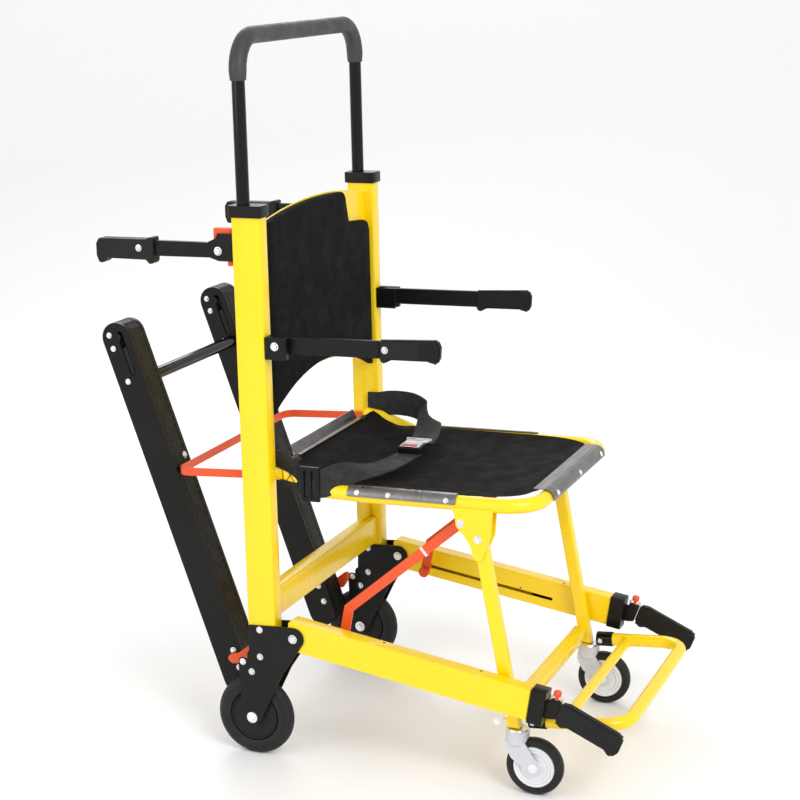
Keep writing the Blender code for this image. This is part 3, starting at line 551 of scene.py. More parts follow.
def weld_bead(bm, centre, axis, radius, turns=28):
    """Ring of weld ripples around a tube's end."""
    axis, side, other = around(axis)
    rings = []
    for i in range(turns):
        a = 2 * math.pi * i / turns
        spoke = side * math.cos(a) + other * math.sin(a)
        bead = 0.0021 if i % 2 else 0.0017
        middle = Vector(centre) + spoke * radius
        rings.append([middle + spoke * bead * math.cos(b) + axis * bead * math.sin(b)
                      for b in (k * math.pi / 3 for k in range(6))])
    return loft(bm, rings, loop=True)


def make_frame_details():
    """Gussets and weld beads, plugs, and black discs that paint the shade inside drilled holes.
    """
    for side, label in SIDES:
        bm = bmesh.new()
        x = side * (POST_X - 0.0155)
        corners = [(x, 0.299), (x, 0.330), (x - side * 0.045, 0.299)]
        loft(bm, [[(px, y, z) for px, z in corners] for y in (-0.0275, -0.0245)])
        finish(bm, "crossbar_gusset_" + label, YELLOW, "back_frame", bevel=0.0006)
        # Black discs set flush in the rail stand for drilled holes: painted shade where the
        # inside of each hole is dark.
        bm = bmesh.new()
        for s in (0.155, 0.330):
            lathe(bm, plug(-0.004, 0.0003, 0.0022),
                  on_rail(s, 0.0300, side * (POST_X - 0.006)), RAIL_UP, 12)
        for s in (0.190, 0.250):
            lathe(bm, plug(-0.004, 0.0003, 0.0016),
                  on_rail(s, 0.0018, side * (POST_X - 0.0146)), (-side, 0, 0), 12)
        finish(bm, "rail_hole_shade_" + label, SOCKET, "lower_rails")
        bm = bmesh.new()
        outline = [on_rail(s, t) for s, t in ((-0.0150, 0.0240), (-0.0150, -0.0220),
                                              (0.020, -0.0218), (0.020, 0.0262),
                                              (-0.0110, 0.0268))]
        prism(bm, [(p.y, p.z) for p in outline], side * (POST_X - 0.0120),
              side * (POST_X + 0.0120))
        finish(bm, "rail_plug_" + label, SOCKET, "lower_rails", bevel=0.001)
        bm = weld_bead(bmesh.new(), (side * 0.2005, -0.452, 0.115), (1, 0, 0), 0.0140)
        finish(bm, "leg_weld_" + label, YELLOW, "legs", smooth=60.0)


# ---------------------------------------------------------------- seat
SEAT_TUBE_X, SEAT_R = 0.2115, 0.0125
FRONT_TUBE = (-0.4985, 0.478)
REAR_BAR = (SEAT_PIVOT.y - 0.011, 0.5035)
SEAT_TOP = [(-0.0470, 0.5130), (-0.0600, 0.5085), (-0.0780, 0.4985), (-0.1000, 0.4895),
            (-0.1300, 0.4865), (-0.1700, 0.4862), (-0.2600, 0.4850), (-0.3400, 0.4848),
            (-0.4200, 0.4862), (-0.4640, 0.4885), (-0.4860, 0.4912)]


def make_seat_frame():
    """Bent tube seat frame with welded gusset boxes around the legs."""
    side = [(SEAT_PIVOT.y + 0.006, SEAT_PIVOT.z + 0.001), (-0.062, 0.500), (-0.125, 0.4775),
            (-0.200, 0.475)]
    x = SEAT_TUBE_X
    corners = ([(-x, *p) for p in side] + [(-x, *FRONT_TUBE), (x, *FRONT_TUBE)]
               + [(x, *p) for p in side[::-1]])
    path = round_path(corners[:4], 0.040, 5)[:-1]
    path += round_path(corners[3:7], 0.055, 14)
    path += round_path(corners[6:], 0.040, 5)[1:]
    bm = tube(bmesh.new(), path, SEAT_R, 26)
    finish(bm, "seat_tube", YELLOW, "seat", ("seat_frame",), smooth=50.0)
    bm = tube(bmesh.new(), [(-x, *REAR_BAR), (x, *REAR_BAR)], 0.0085, 20)
    finish(bm, "seat_rear_bar", SOCKET, "seat", smooth=50.0)
    for sign, label in SIDES:
        bm = bmesh.new()
        outline = ([(-0.3620, 0.4720), (-0.3675, 0.4530), (-0.3690, 0.4390)]
                   + [(-0.3810, 0.4270), (-0.3925, 0.4100), (-0.3980, 0.3900)]
                   + arc((-0.4070, 0.3920), 0.0092, 340, 200, 5)
                   + [(-0.4200, 0.4040), (-0.4290, 0.4250), (-0.4330, 0.4720)])
        for inner, outer in ((0.1984, 0.2016), (0.2214, 0.2246)):
            prism(bm, outline, sign * inner, sign * outer)
        finish(bm, "gusset_" + label, YELLOW, "seat", bevel=0.0007)
        for pivot in (LINK_TOP, SEAT_LEG):
            bolts.button("seat", (sign * 0.2247, pivot.y, pivot.z), (sign, 0, 0), 0.0056)
        bolts.button("legs", (sign * 0.2212, -0.4495, 0.1215), (sign, 0, 0), 0.0045)
        end = (sign * 0.2235, SEAT_PIVOT.y, SEAT_PIVOT.z + 0.001)
        bm = lathe(bmesh.new(), plug(-0.004, 0.0008, 0.0120), end, (sign, 0, 0), 24)
        finish(bm, "seat_bush_" + label, HUB, "seat", bevel=0.0005)


def bar_section(u):
    """The seat fabric's (y, z) along its middle, u from 0 at the rear to 1 at the front."""
    count = len(SEAT_TOP) - 1
    place = min(u * count, count - 1e-6)
    i = int(place)
    pts = [Vector(p) for p in SEAT_TOP]
    return catmull(pts[max(i - 1, 0)], pts[i], pts[i + 1], pts[min(i + 2, count)], place - i)


def half_width(y):
    """The fabric is full width beside the tubes and is cut in at the front corners."""
    full, cut, start, end = 0.2065, 0.150, -0.366, -0.478
    if y > start:
        return full
    t = min(1.0, (start - y) / (start - end))
    return full - (full - cut) * (1 - math.sqrt(max(0.0, 1 - t ** 2.2)))


def make_seat_cloth():
    """Taut coated cloth: woven down over the rear bar, along the tubes and under the front
    strip, then let settle by a short cloth simulation so that it sags and wrinkles."""
    across, along = 46, 52
    bm = bmesh.new()
    rows = []
    for j in range(along + 1):
        point = bar_section(j / along)
        half = half_width(point.x)
        row = []
        for i in range(across + 1):
            u = -1 + 2 * i / across
            edge = max(0.0, 0.4895 - point.y) * abs(u) ** 8
            row.append(bm.verts.new((u * half, point.x, point.y + edge)))
        rows.append(row)
    for low, high in zip(rows, rows[1:]):
        for i in range(across):
            bm.faces.new((low[i], high[i], high[i + 1], low[i + 1]))
    bm.verts.index_update()
    held = []
    for j, row in enumerate(rows):
        edge_row = j in (0, 1, along)
        for i, vert in enumerate(row):
            if edge_row or i in (0, across):
                held.append(vert.index)
    bmesh.ops.recalc_face_normals(bm, faces=bm.faces)
    mesh = bpy.data.meshes.new("seat_cloth")
    bm.to_mesh(mesh)
    bm.free()
    mesh.transform(LEAN)
    mesh.materials.append(CLOTH)
    mesh.shade_smooth()
    item = bpy.data.objects.new("seat_cloth", mesh)
    bpy.context.scene.collection.objects.link(item)
    settle(item, held, 22)
    thick = item.modifiers.new("thickness", "SOLIDIFY")
    thick.thickness = 0.0016
    thick.offset = -1.0
    sub = item.modifiers.new("smooth", "SUBSURF")
    sub.levels = sub.render_levels = 1
    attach(item, "seat")
    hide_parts("seat_panel")
    return item


def settle(item, held, frames):
    """Short cloth simulation with a pinned border; the result becomes the mesh."""
    group = item.vertex_groups.new(name="held")
    group.add(held, 1.0, "REPLACE")
    cloth = item.modifiers.new("cloth", "CLOTH")
    cloth.settings.quality = 6
    cloth.settings.mass = 0.35
    cloth.settings.tension_stiffness = 60
    cloth.settings.compression_stiffness = 60
    cloth.settings.shear_stiffness = 30
    cloth.settings.bending_stiffness = 4
    cloth.settings.vertex_group_mass = "held"
    cloth.settings.effector_weights.gravity = 0.7
    cloth.settings.shrink_min = -0.004
    cloth.point_cache.frame_start = 1
    cloth.point_cache.frame_end = frames
    scene = bpy.context.scene
    for number in range(1, frames + 1):
        scene.frame_set(number)
    graph = bpy.context.evaluated_depsgraph_get()
    mesh = bpy.data.meshes.new_from_object(item.evaluated_get(graph))
    item.modifiers.clear()
    item.data = mesh
    scene.frame_set(1)


def curved_plate(bm, ends, out, radius, thickness, start, end):
    """Plate bent around a straight tube, from start to end degrees, 0 facing out and 90 up."""
    spokes = [spoke_at(out, start + (end - start) * i / 8) for i in range(9)]
    return loft(bm, [[Vector(point) + spoke * (radius + thickness) for spoke in spokes]
                     + [Vector(point) + spoke * radius for spoke in spokes[::-1]]
                     for point in ends])


def spoke_at(out, degrees):
    """Direction out, turned up by an angle."""
    a = math.radians(degrees)
    return Vector(out) * math.cos(a) + Vector((0, 0, 1)) * math.sin(a)


def make_seat_strips():
    """Metal strips that clamp the cloth along the side tubes, the front bar and the rear."""
    for side, label in SIDES:
        bm = bmesh.new()
        x = side * SEAT_TUBE_X
        ends = [(x, -0.177, 0.4752), (x, -0.369, 0.4763)]
        curved_plate(bm, ends, (side, 0, 0), SEAT_R + 0.0014, 0.0022, 2, 100)
        finish(bm, "side_strip_" + label, STRIP, "seat", bevel=0.0004)
        normal = spoke_at((side, 0, 0), 26)
        for y in (-0.195, -0.251, -0.353):
            bolts.button("seat", Vector((x, y, 0.4758)) + normal * 0.0160, normal, 0.0036)
    bm = bmesh.new()
    y, z = FRONT_TUBE
    curved_plate(bm, [(-0.150, y, z), (0.150, y, z)], (0, -1, 0), SEAT_R + 0.0020, 0.0020,
                 -12, 90)
    finish(bm, "front_strip", STRIP, "seat", bevel=0.0004)
    bm = loft(bmesh.new(), [[(x, y, z + SEAT_R + 0.0021), (x, y, z + SEAT_R + 0.0040),
                    (x, y + 0.020, z + SEAT_R + 0.0032), (x, y + 0.020, z + SEAT_R + 0.0014)]
                   for x in (-0.150, 0.150)])
    finish(bm, "front_strip_flange", STRIP, "seat", bevel=0.0004)
    normal = spoke_at((0, -1, 0), 20)
    for x in (-0.128, 0.0, 0.128):
        bolts.button("seat", Vector((x, y, z)) + normal * (SEAT_R + 0.0040), normal, 0.0038)
    bm = bmesh.new()
    rear = REAR_BAR[0]
    curved_plate(bm, [(-0.136, *REAR_BAR), (0.136, *REAR_BAR)], (0, 1, 0), 0.0098, 0.0022,
                 -20, 118)
    loft(bm, [[(x, rear + 0.004, 0.5140), (x, rear + 0.0065, 0.5140), (x, rear + 0.0140, 0.5300),
               (x, rear + 0.0115, 0.5305)] for x in (-0.136, 0.136)])
    finish(bm, "rear_strip", STRIP, "seat", bevel=0.0004)
    for x in (-0.150, 0.150):
        bm = tube(bmesh.new(), [(x - 0.011, *REAR_BAR), (x + 0.011, *REAR_BAR)], 0.0108, 20)
        finish(bm, "rear_collar_" + ("left" if x > 0 else "right"), SOCKET, "seat",
               bevel=0.0006)


# ---------------------------------------------------------------- backrest
def backrest_outline():
    """Front view of the pad: crowned top, arched bottom and one notched upper corner."""
    half, top_edge, crown = 0.2195, 0.9245, 0.0185
    bottom_edge, arch = 0.600, 0.052
    left = 0.106
    points = []
    for i in range(13):
        x = -half + (left + half) * i / 12
        points.append((x, top_edge + crown * (1 - (x / half) ** 2)))
    points += [(left + 0.006, 0.933), (left + 0.009, 0.922), (left + 0.018, 0.892),
               (left + 0.022, 0.884), (left + 0.030, 0.881), (half - 0.016, 0.875),
               (half - 0.005, 0.870), (half, 0.858)]
    for i in range(15):
        x = half - 2 * half * i / 14
        points.append((x, bottom_edge + arch * (1 - (x / half) ** 2)))
    return points


def make_backrest():
    """Foam pad in coated cloth with a rolled edge and a piped seam."""
    outline = backrest_outline()
    centre = Vector((0, 0.78))
    steps = ((0.0, -0.0322), (0.0, -0.0385), (0.0022, -0.0425), (0.0065, -0.0448),
             (0.0105, -0.0442), (0.0135, -0.0454), (0.030, -0.0466))
    bm = bmesh.new()
    rings = []
    for inset, y in steps:
        ring = []
        for x, z in outline:
            inward = Vector((centre.x - x, centre.y - z)).normalized() * inset
            ring.append((x + inward.x, y, z + inward.y))
        rings.append(ring)
    loft(bm, rings, caps=False)
    bm.verts.ensure_lookup_table()
    count = len(outline)
    bm.faces.new([bm.verts[i] for i in range(count)])
    inner = bm.faces.new([bm.verts[len(bm.verts) - count + i] for i in range(count)])
    bmesh.ops.triangulate(bm, faces=[inner])
    pad = finish(bm, "backrest_cover", PAD, "back_frame", ("backrest_pad",), smooth=70.0)


# ---------------------------------------------------------------- lap belt
NEAR_STRAP = (
    [(-0.2140, -0.0330, 0.5210), (-0.2180, -0.0560, 0.5160), (-0.2215, -0.0820, 0.4985),
     (-0.2240, -0.1050, 0.4900), (-0.2240, -0.1300, 0.4910), (-0.2150, -0.1480, 0.4990),
     (-0.1850, -0.1680, 0.5050), (-0.1300, -0.1850, 0.4970), (-0.0750, -0.1980, 0.4945),
     (-0.0100, -0.2060, 0.4960)],
    [(0.1, 0.25, 1), (0.1, 0.2, 1), (0.1, 0.1, 1), (0.05, 0.0, 1), (0.1, 0.05, 1),
     (0.2, 0.3, 0.9), (0.3, 0.7, 0.6), (0.25, 0.95, 0.25), (0.2, 1, 0.08),
     (0.2, 1, 0.0)])

FAR_STRAP = (
    [(0.2140, -0.0330, 0.5230), (0.2130, -0.0560, 0.5240), (0.2090, -0.0800, 0.5290),
     (0.2000, -0.1050, 0.5320), (0.1880, -0.1330, 0.5330), (0.1700, -0.1600, 0.5300),
     (0.1520, -0.1800, 0.5230), (0.1250, -0.1900, 0.5120), (0.0950, -0.1960, 0.5030),
     (0.0560, -0.2000, 0.4965)],
    [(0.1, 0.2, 1), (0.1, 0.1, 1), (0.1, 0.0, 1), (0.1, -0.1, 1), (0.15, 0.0, 1),
     (0.3, 0.3, 0.9), (0.4, 0.7, 0.6), (0.3, 0.9, 0.4), (0.2, 1, 0.2), (0.2, 1, 0.0)])


def make_belt():
    """Webbing straps with stitched ends, a ladder adjuster and a push-button buckle."""
    width, thickness = 0.046, 0.0030
    for name, (path, across), node in (("near_webbing", NEAR_STRAP, "belt_right"),
                                       ("far_webbing", FAR_STRAP, "belt_left")):
        bm = strap(bmesh.new(), path, across, width, thickness, 8)
        item = finish(bm, name, WEBBING, "seat", (node,), smooth=60.0)
        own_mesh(item)
    bm = bmesh.new()
    x = -0.2235
    for a, b in (((-0.0615, 0.484), (-0.0855, 0.522)), ((-0.0615, 0.522), (-0.0855, 0.484)),
                 ((-0.0600, 0.482), (-0.0600, 0.524)), ((-0.0870, 0.482), (-0.0870, 0.524)),
                 ((-0.0600, 0.524), (-0.0870, 0.524)), ((-0.0600, 0.482), (-0.0870, 0.482))):
        tube(bm, [(x - 0.0008, a[0], a[1]), (x - 0.0030, b[0], b[1])], 0.0006, 6)
    finish(bm, "belt_stitching", THREAD, "seat", smooth=60.0)
    make_adjuster()
    make_buckle()


def make_adjuster():
    """Ladder adjuster on the near strap: a moulded frame with two bars."""
    middle = Vector((-0.2262, -0.1110, 0.4905))
    tall, deep = 0.060, 0.034
    bm = bmesh.new()
    for dz in (-1, 1):
        slab(bm, middle + Vector((0, 0, dz * (tall / 2 - 0.0035))), (0.0065, deep, 0.007))
    for dy in (-1, 0, 1):
        spot = middle + Vector((-0.0010 * (dy == 0), dy * (deep / 2 - 0.003), 0))
        slab(bm, spot, (0.0060, 0.0062, tall - 0.006))
    finish(bm, "belt_adjuster", SOCKET, "seat", bevel=0.0012, segments=3)


def make_buckle():
    """Push-button buckle: moulded body, steel cover, red button, steel tongue and its bar."""
    z = 0.4985
    outline = [(-0.018, -0.2265), (0.022, -0.2245), (0.022, -0.1835), (-0.018, -0.1855)]
    body = plate(bmesh.new(), outline, z - 0.003, z + 0.0105)
    finish(body, "buckle_body", SOCKET, "seat", ("belt_buckle",), bevel=0.0028, segments=3)
    cover = [(-0.016, -0.2240), (0.0210, -0.2220), (0.0210, -0.1860), (-0.016, -0.1880)]
    button = [(-0.0125, -0.2190), (-0.0015, -0.2185), (-0.0015, -0.1905), (-0.0125, -0.1910)]
    tongue = [(0.020, -0.2200), (0.034, -0.2230), (0.046, -0.2260), (0.046, -0.1790),
              (0.034, -0.1810), (0.020, -0.1870)]
    for name, mat, outline, low, high, bevel in (
            ("buckle_cover", STEEL, cover, 0.0100, 0.0118, 0.0008),
            ("buckle_button", RED, button, 0.0112, 0.0130, 0.0008),
            ("buckle_tongue", STEEL, tongue, 0.0062, 0.0084, 0.0006)):
        part = plate(bmesh.new(), outline, z + low, z + high)
        finish(part, name, mat, "seat", bevel=bevel)
    bar = tube(bmesh.new(), [(0.0445, -0.2265, z + 0.0085), (0.0445, -0.1785, z + 0.0085)],
               0.0030, 14)
    finish(bar, "buckle_bar", STEEL, "seat", bevel=0.0005)


# ---------------------------------------------------------------- handles
def make_upper_handle():
    """Gloss telescopic tube with a thick foam sleeve over the bend."""
    y, top, bend = drawn("upper_handle_slide").y, 1.230, 0.055
    x = POST_X
    foot = (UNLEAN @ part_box("upper_handle_tube")[0]).z + 0.002

    def path(start):
        return round_path([(-x, y, start), (-x, y, top), (x, y, top), (x, y, start)], bend, 14)
    bm = tube(bmesh.new(), path(foot), 0.0110, 24)
    finish(bm, "handle_tube_look", GLOSS, "upper_handle", ("upper_handle_tube",), smooth=60.0)
    bm = tube(bmesh.new(), path(1.1605), 0.0146, 24, 0.0132)
    finish(bm, "handle_foam_look", FOAM, "upper_handle", ("upper_handle_grip",), smooth=60.0)


def make_rear_handles():
    """Lift handles behind the posts: bracket with a raised rear corner, lever, flared grip."""
    y, z = REAR_HANDLE.y, REAR_HANDLE.z
    for side, label in SIDES:
        x = side * POST_X
        bm = bmesh.new()
        cheek = [(0.0036, 0.8665), (0.0300, 0.8665), (0.0480, 0.8725), (0.0480, 0.8985),
                 (0.0395, 0.9020), (0.0340, 0.9050), (0.0310, 0.9125), (0.0036, 0.9125)]
        for inner, outer in ((0.0080, 0.0110), (-0.0110, -0.0080)):
            prism(bm, cheek, x + side * inner, x + side * outer)
        web = [(0.0036, 0.8670), (0.0066, 0.8670), (0.0066, 0.9120), (0.0036, 0.9120)]
        prism(bm, web, x - 0.0085, x + 0.0085)
        finish(bm, "rear_bracket_look_" + label, BLACK, "back_frame",
               ("rear_handle_bracket_" + label,), bevel=0.0008)
        from_cad("rear_handle_lever_" + label, BLACK, 0.0008, 2)
        bm = bmesh.new()
        outline = [(0.1513, 0.9015), (0.1513, 0.8620), (0.1540, 0.8575), (0.1600, 0.8565),
                   (0.1665, 0.8635), (0.2400, 0.8640), (0.2460, 0.8575), (0.2515, 0.8553),
                   (0.2565, 0.8573), (0.2605, 0.8680), (0.2605, 0.8890), (0.2550, 0.8978),
                   (0.1640, 0.8982), (0.1605, 0.9015)]
        prism(bm, outline, x - 0.0122, x + 0.0122)
        finish(bm, "rear_grip_look_" + label, GRIP, "rear_handle_" + label,
               ("rear_handle_grip_" + label,), bevel=0.0042, segments=4)
        from_cad("rear_handle_latch_" + label, ORANGE, 0.0012, 3)
        bolts.button("back_frame", (x + side * 0.0111, y, z), (side, 0, 0), 0.0056)
        for way in (side, -side):
            bolts.button("rear_handle_" + label, (x + way * 0.0123, 0.1780, 0.8835),
                         (way, 0, 0), 0.0046)


def make_armrests():
    """Folding arms: wrap-around bracket, flat bar and a moulded grip with an end cap."""
    for side, label in SIDES:
        from_cad("armrest_bracket_" + label, BLACK, 0.0008, 2)
        from_cad("armrest_bar_" + label, BLACK, 0.0010, 3)
        from_cad("armrest_grip_" + label, GRIP, 0.0022, 4)
        x = side * (POST_X + 0.0146)
        bolts.button("back_frame", (x, ARM_PIVOT.y, ARM_PIVOT.z), (side, 0, 0), 0.0056)
        bolts.button("armrest_" + label, (side * (POST_X + 0.0012), -0.2580, 0.7310),
                     (side, 0, 0), 0.0046)
        bm = bmesh.new()
        x0 = side * (POST_X + 0.0005)
        outline = [(-0.3170, 0.7185), (-0.3400, 0.7175), (-0.3475, 0.7150), (-0.3500, 0.7240),
                   (-0.3505, 0.7385), (-0.3460, 0.7465), (-0.3170, 0.7440)]
        prism(bm, outline, x0, x0 + side * 0.0012)
        finish(bm, "arm_end_cap_" + label, SOCKET, "armrest_" + label, bevel=0.0008)


def make_front_handles():
    """Sliding carry handles at the rails' front ends with their spring knobs."""
    knob = 0.4660             # along the rail from its pivot
    for side, label in SIDES:
        from_cad("front_handle_bar_" + label, BLACK, 0.0008, 2)
        from_cad("front_handle_grip_" + label, GRIP, 0.0020, 4)
        body = "front_knob_" + label
        x = side * (POST_X + 0.0048)
        bm = bmesh.new()
        foot = on_rail(knob, 0.0200, x)
        profile = [(0.0, 0.0), (0.0, 0.0030), (0.0095, 0.0030), (0.0098, 0.0058),
                   (0.0120, 0.0066), (0.0170, 0.0066), (0.0190, 0.0052), (0.0192, 0.0)]
        lathe(bm, profile, foot, RAIL_UP, 22)
        finish(bm, "front_knob_look_" + label, ORANGE, body, ("front_knob_" + label,),
               bevel=0.0004)
        bm = bmesh.new()
        for ds in (-0.0085, 0.0085):
            lathe(bm, [(0, 0), (0, 0.0024), (0.0060, 0.0024), (0.0066, 0.0016), (0.0066, 0)],
                  on_rail(knob + ds, 0.0230, x), RAIL_UP, 14)
        finish(bm, "knob_posts_" + label, ZINC, "front_handle_" + label, bevel=0.0002)
        bm = lathe(bmesh.new(), [(0, 0), (0, 0.0020), (0.0006, 0.0016), (0.0006, 0)],
                   (side * (POST_X + 0.0172), -0.5900, 0.1370), (side, 0, 0), 12)
        finish(bm, "front_grip_screw_" + label, SOCKET, "front_handle_" + label)


# ---------------------------------------------------------------- wheels
def make_rear_wheels():
    """Rear wheels: ribbed tyre and dished disc, with a nut at each end of the axle."""
    h, r = 0.0135, 0.0703     # half width, radius
    tyre = [(h - 0.0065, 0.0440), (h - 0.0022, 0.0455), (h - 0.0008, 0.0475), (h, 0.0530),
            (h - 0.0004, 0.0575), (h - 0.0012, 0.0580), (h - 0.0012, 0.0595),
            (h - 0.0010, 0.0600), (h - 0.0030, 0.0650), (h - 0.0058, 0.0684),
            (h - 0.0095, 0.0700), (0.0030, r), (0.0022, r - 0.0006)]
    disc = [(h - 0.0012, 0.0), (h - 0.0012, 0.0150), (h - 0.0028, 0.0165), (h - 0.0046, 0.0180),
            (h - 0.0046, 0.0390), (h - 0.0030, 0.0402), (h - 0.0026, 0.0425),
            (h - 0.0034, 0.0432), (h - 0.0064, 0.0436)]
    for _, label in SIDES:
        body = "rear_wheel_" + label
        pivot = drawn("rear_wheel_spin_" + label)
        bm = lathe(bmesh.new(), mirrored(tyre), pivot, (1, 0, 0), 72)
        finish(bm, "rear_tyre_" + label, TYRE, body, (body,), smooth=28.0)
        bm = lathe(bmesh.new(), mirrored(disc), pivot, (1, 0, 0), 64)
        finish(bm, "rear_disc_" + label, GRIP, body, smooth=28.0)
        for way in (1, -1):
            x = pivot.x + way * 0.0185
            bolts.hexagon("back_frame", (x, pivot.y, pivot.z), (way, 0, 0), 0.0068, 0.0062)


def make_casters():
    """Swivel casters: stepped housing, curved fork, hub with a raised boss, grey tyre."""
    h = 0.0115                # half width of the wheel
    for _, label in SIDES:
        from_cad("caster_fork_" + label, PALE, 0.0016, 3)
        stem = Vector(JOINTS["caster_swivel_" + label]["pos_m"])
        bm = bmesh.new()
        profile = [(0.0003, 0.0), (0.0003, 0.0178), (-0.0020, 0.0190), (-0.0020, 0.0)]
        lathe(bm, profile, stem, (0, 0, 1), 40)
        finish(bm, "caster_race_" + label, ZINC, "caster_" + label, lean=False)
        bm = bmesh.new()
        profile = [(-0.0022, 0.0), (-0.0022, 0.0193), (-0.0040, 0.0199), (-0.0062, 0.0199),
                   (-0.0070, 0.0188), (-0.0085, 0.0188), (-0.0092, 0.0199), (-0.0240, 0.0199),
                   (-0.0262, 0.0180), (-0.0262, 0.0)]
        lathe(bm, profile, stem, (0, 0, 1), 40)
        finish(bm, "caster_cup_" + label, PALE, "caster_" + label, lean=False, smooth=30.0)
        axle = Vector(JOINTS["caster_spin_" + label]["pos_m"])
        body = "caster_wheel_" + label
        tyre = [(h - 0.0060, 0.0360), (h - 0.0022, 0.0368), (h - 0.0006, 0.0385),
                (h - 0.0004, 0.0420), (h - 0.0020, 0.0460), (h - 0.0050, 0.0486),
                (0.0030, 0.0495)]
        bm = lathe(bmesh.new(), mirrored(tyre), axle, (1, 0, 0), 60)
        finish(bm, "caster_tyre_" + label, TYRE, body, (body,), lean=False, smooth=28.0)
        disc = [(h - 0.0002, 0.0), (h - 0.0002, 0.0098), (h - 0.0020, 0.0112),
                (h - 0.0042, 0.0125), (h - 0.0046, 0.0238), (h - 0.0030, 0.0252),
                (h - 0.0014, 0.0262), (h - 0.0014, 0.0290), (h - 0.0028, 0.0298),
                (h - 0.0012, 0.0308), (h - 0.0010, 0.0340), (h - 0.0024, 0.0356),
                (h - 0.0060, 0.0362)]
        bm = lathe(bmesh.new(), mirrored(disc), axle, (1, 0, 0), 56)
        finish(bm, "caster_hub_" + label, HUB, body, lean=False, smooth=28.0)
        bm = bmesh.new()
        for way in (1, -1):
            boss = [(0, 0), (0, 0.0082), (0.0012, 0.0080), (0.0016, 0.0066), (0.0016, 0)]
            lathe(bm, boss, axle + Vector((way * 0.0151, 0, 0)), (way, 0, 0), 28)
        finish(bm, "caster_axle_cap_" + label, HUB, "caster_" + label, lean=False)


# ---------------------------------------------------------------- footrest
def make_footrest():
    """Bent tube bow with a welded step, black hinge sockets and their pins."""
    x, r = 0.203, 0.0115
    start, front, step = (-0.487, 0.1090), (-0.651, 0.119), -0.545
    bm = bmesh.new()
    tube(bm, round_path([(-x, *start), (-x, *front), (x, *front), (x, *start)], 0.046, 14), r, 24)
    finish(bm, "footrest_bow", YELLOW, "footrest", ("footrest",), smooth=60.0)
    z = start[1] + (step - start[0]) * (front[1] - start[1]) / (front[0] - start[0])
    bm = tube(bmesh.new(), [(-x, step, z), (x, step, z)], 0.0092, 20)
    finish(bm, "footrest_step", YELLOW, "footrest", smooth=60.0)
    for side, label in SIDES:
        bm = bmesh.new()
        tube(bm, [(side * x, -0.4868, 0.1090), (side * x, -0.5170, 0.1108)], 0.0134, 24)
        finish(bm, "footrest_socket_" + label, SOCKET, "footrest", bevel=0.0012, segments=3)
        for way in (1, -1):
            bolts.button("footrest", (side * x + way * 0.0132, -0.4950, 0.1095),
                         (way, 0, 0), 0.0034)
        bm = weld_bead(bmesh.new(), (side * (x - r + 0.0005), step, z), (1, 0, 0), 0.0100, 22)
        finish(bm, "step_weld_" + label, YELLOW, "footrest", smooth=60.0)


# ---------------------------------------------------------------- tracks
def belt_loop(pitch):
    """Points and outward directions around a track, two to each rib of the belt."""
    steps = 2 * int(TRACK_LENGTH / pitch)
    run = [TRACK_DOWN * (TRACK_LENGTH * i / steps) for i in range(steps + 1)]
    bend = [(math.cos(a), math.sin(a)) for a in (math.pi * i / 12 for i in range(1, 12))]
    return ([(TRACK_HEAD + way, TRACK_AHEAD) for way in run]
            + [(TRACK_FOOT, TRACK_AHEAD * c + TRACK_DOWN * d) for c, d in bend]
            + [(TRACK_FOOT - way, -TRACK_AHEAD) for way in run]
            + [(TRACK_HEAD, -TRACK_AHEAD * c - TRACK_DOWN * d) for c, d in bend])


def make_tracks():
    """Painted beams with a ribbed belt between their flanges, pins, bolts and sliders."""
    inner, outer, pitch, rib = 0.0226, 0.0260, 0.0125, 0.0016
    loop = belt_loop(pitch)
    for side, label in SIDES:
        from_cad("track_beam_" + label, BEAM, 0.0010, 2)
        left, right = (Vector((side * TRACK_X + half, 0, 0)) for half in (-0.0168, 0.0168))
        bm = bmesh.new()
        rings = []
        for i, (point, out) in enumerate(loop):
            crest = outer + (rib if i % 2 else 0.0)
            rings.append([point + out * inner + left, point + out * crest + left,
                          point + out * crest + right, point + out * inner + right])
        loft(bm, rings, loop=True)
        finish(bm, "track_belt_look_" + label, BELT, "tracks", ("track_belt_" + label,),
               bevel=0.0004)
        make_track_details(side * TRACK_X, side, label)
    from_cad("track_cross_tube", GLOSS, 0.0)


def make_track_details(x_mid, side, label):
    """Axles, bolts and the slider in the tension window of one track."""
    bm = bmesh.new()
    for distance in (0, TRACK_LENGTH):
        profile = [(-0.0290, 0.0), (-0.0290, 0.0085), (-0.0281, 0.0095), (0.0281, 0.0095),
                   (0.0290, 0.0085), (0.0290, 0.0)]
        lathe(bm, profile, on_track(distance, 0, x_mid), (1, 0, 0), 24)
    finish(bm, "track_axles_" + label, BEAM, "tracks", smooth=30.0)
    for way in (1, -1):
        x = x_mid + way * 0.0276
        for distance, offset, radius in ((-0.008, -0.011, 0.0040), (0.016, -0.012, 0.0040),
                                         (0.078, -0.006, 0.0040),
                                         (TRACK_LENGTH - 0.052, 0.012, 0.0044),
                                         (TRACK_LENGTH - 0.020, 0.012, 0.0044)):
            bolts.button("tracks", on_track(distance, offset, x), (way, 0, 0), radius)
    bm = bmesh.new()
    outline = [on_track(a, b) for a, b in
               ((0.020, 0.0130), (0.070, 0.0130), (0.070, 0.0045), (0.020, 0.0045))]
    prism(bm, [(p.y, p.z) for p in outline], x_mid - 0.0262, x_mid + 0.0262)
    finish(bm, "track_slider_" + label, BELT, "tracks", bevel=0.0008)
    bolts.button("tracks", on_track(0.2315, 0.0270, x_mid - side * 0.012), TRACK_AHEAD, 0.0050)


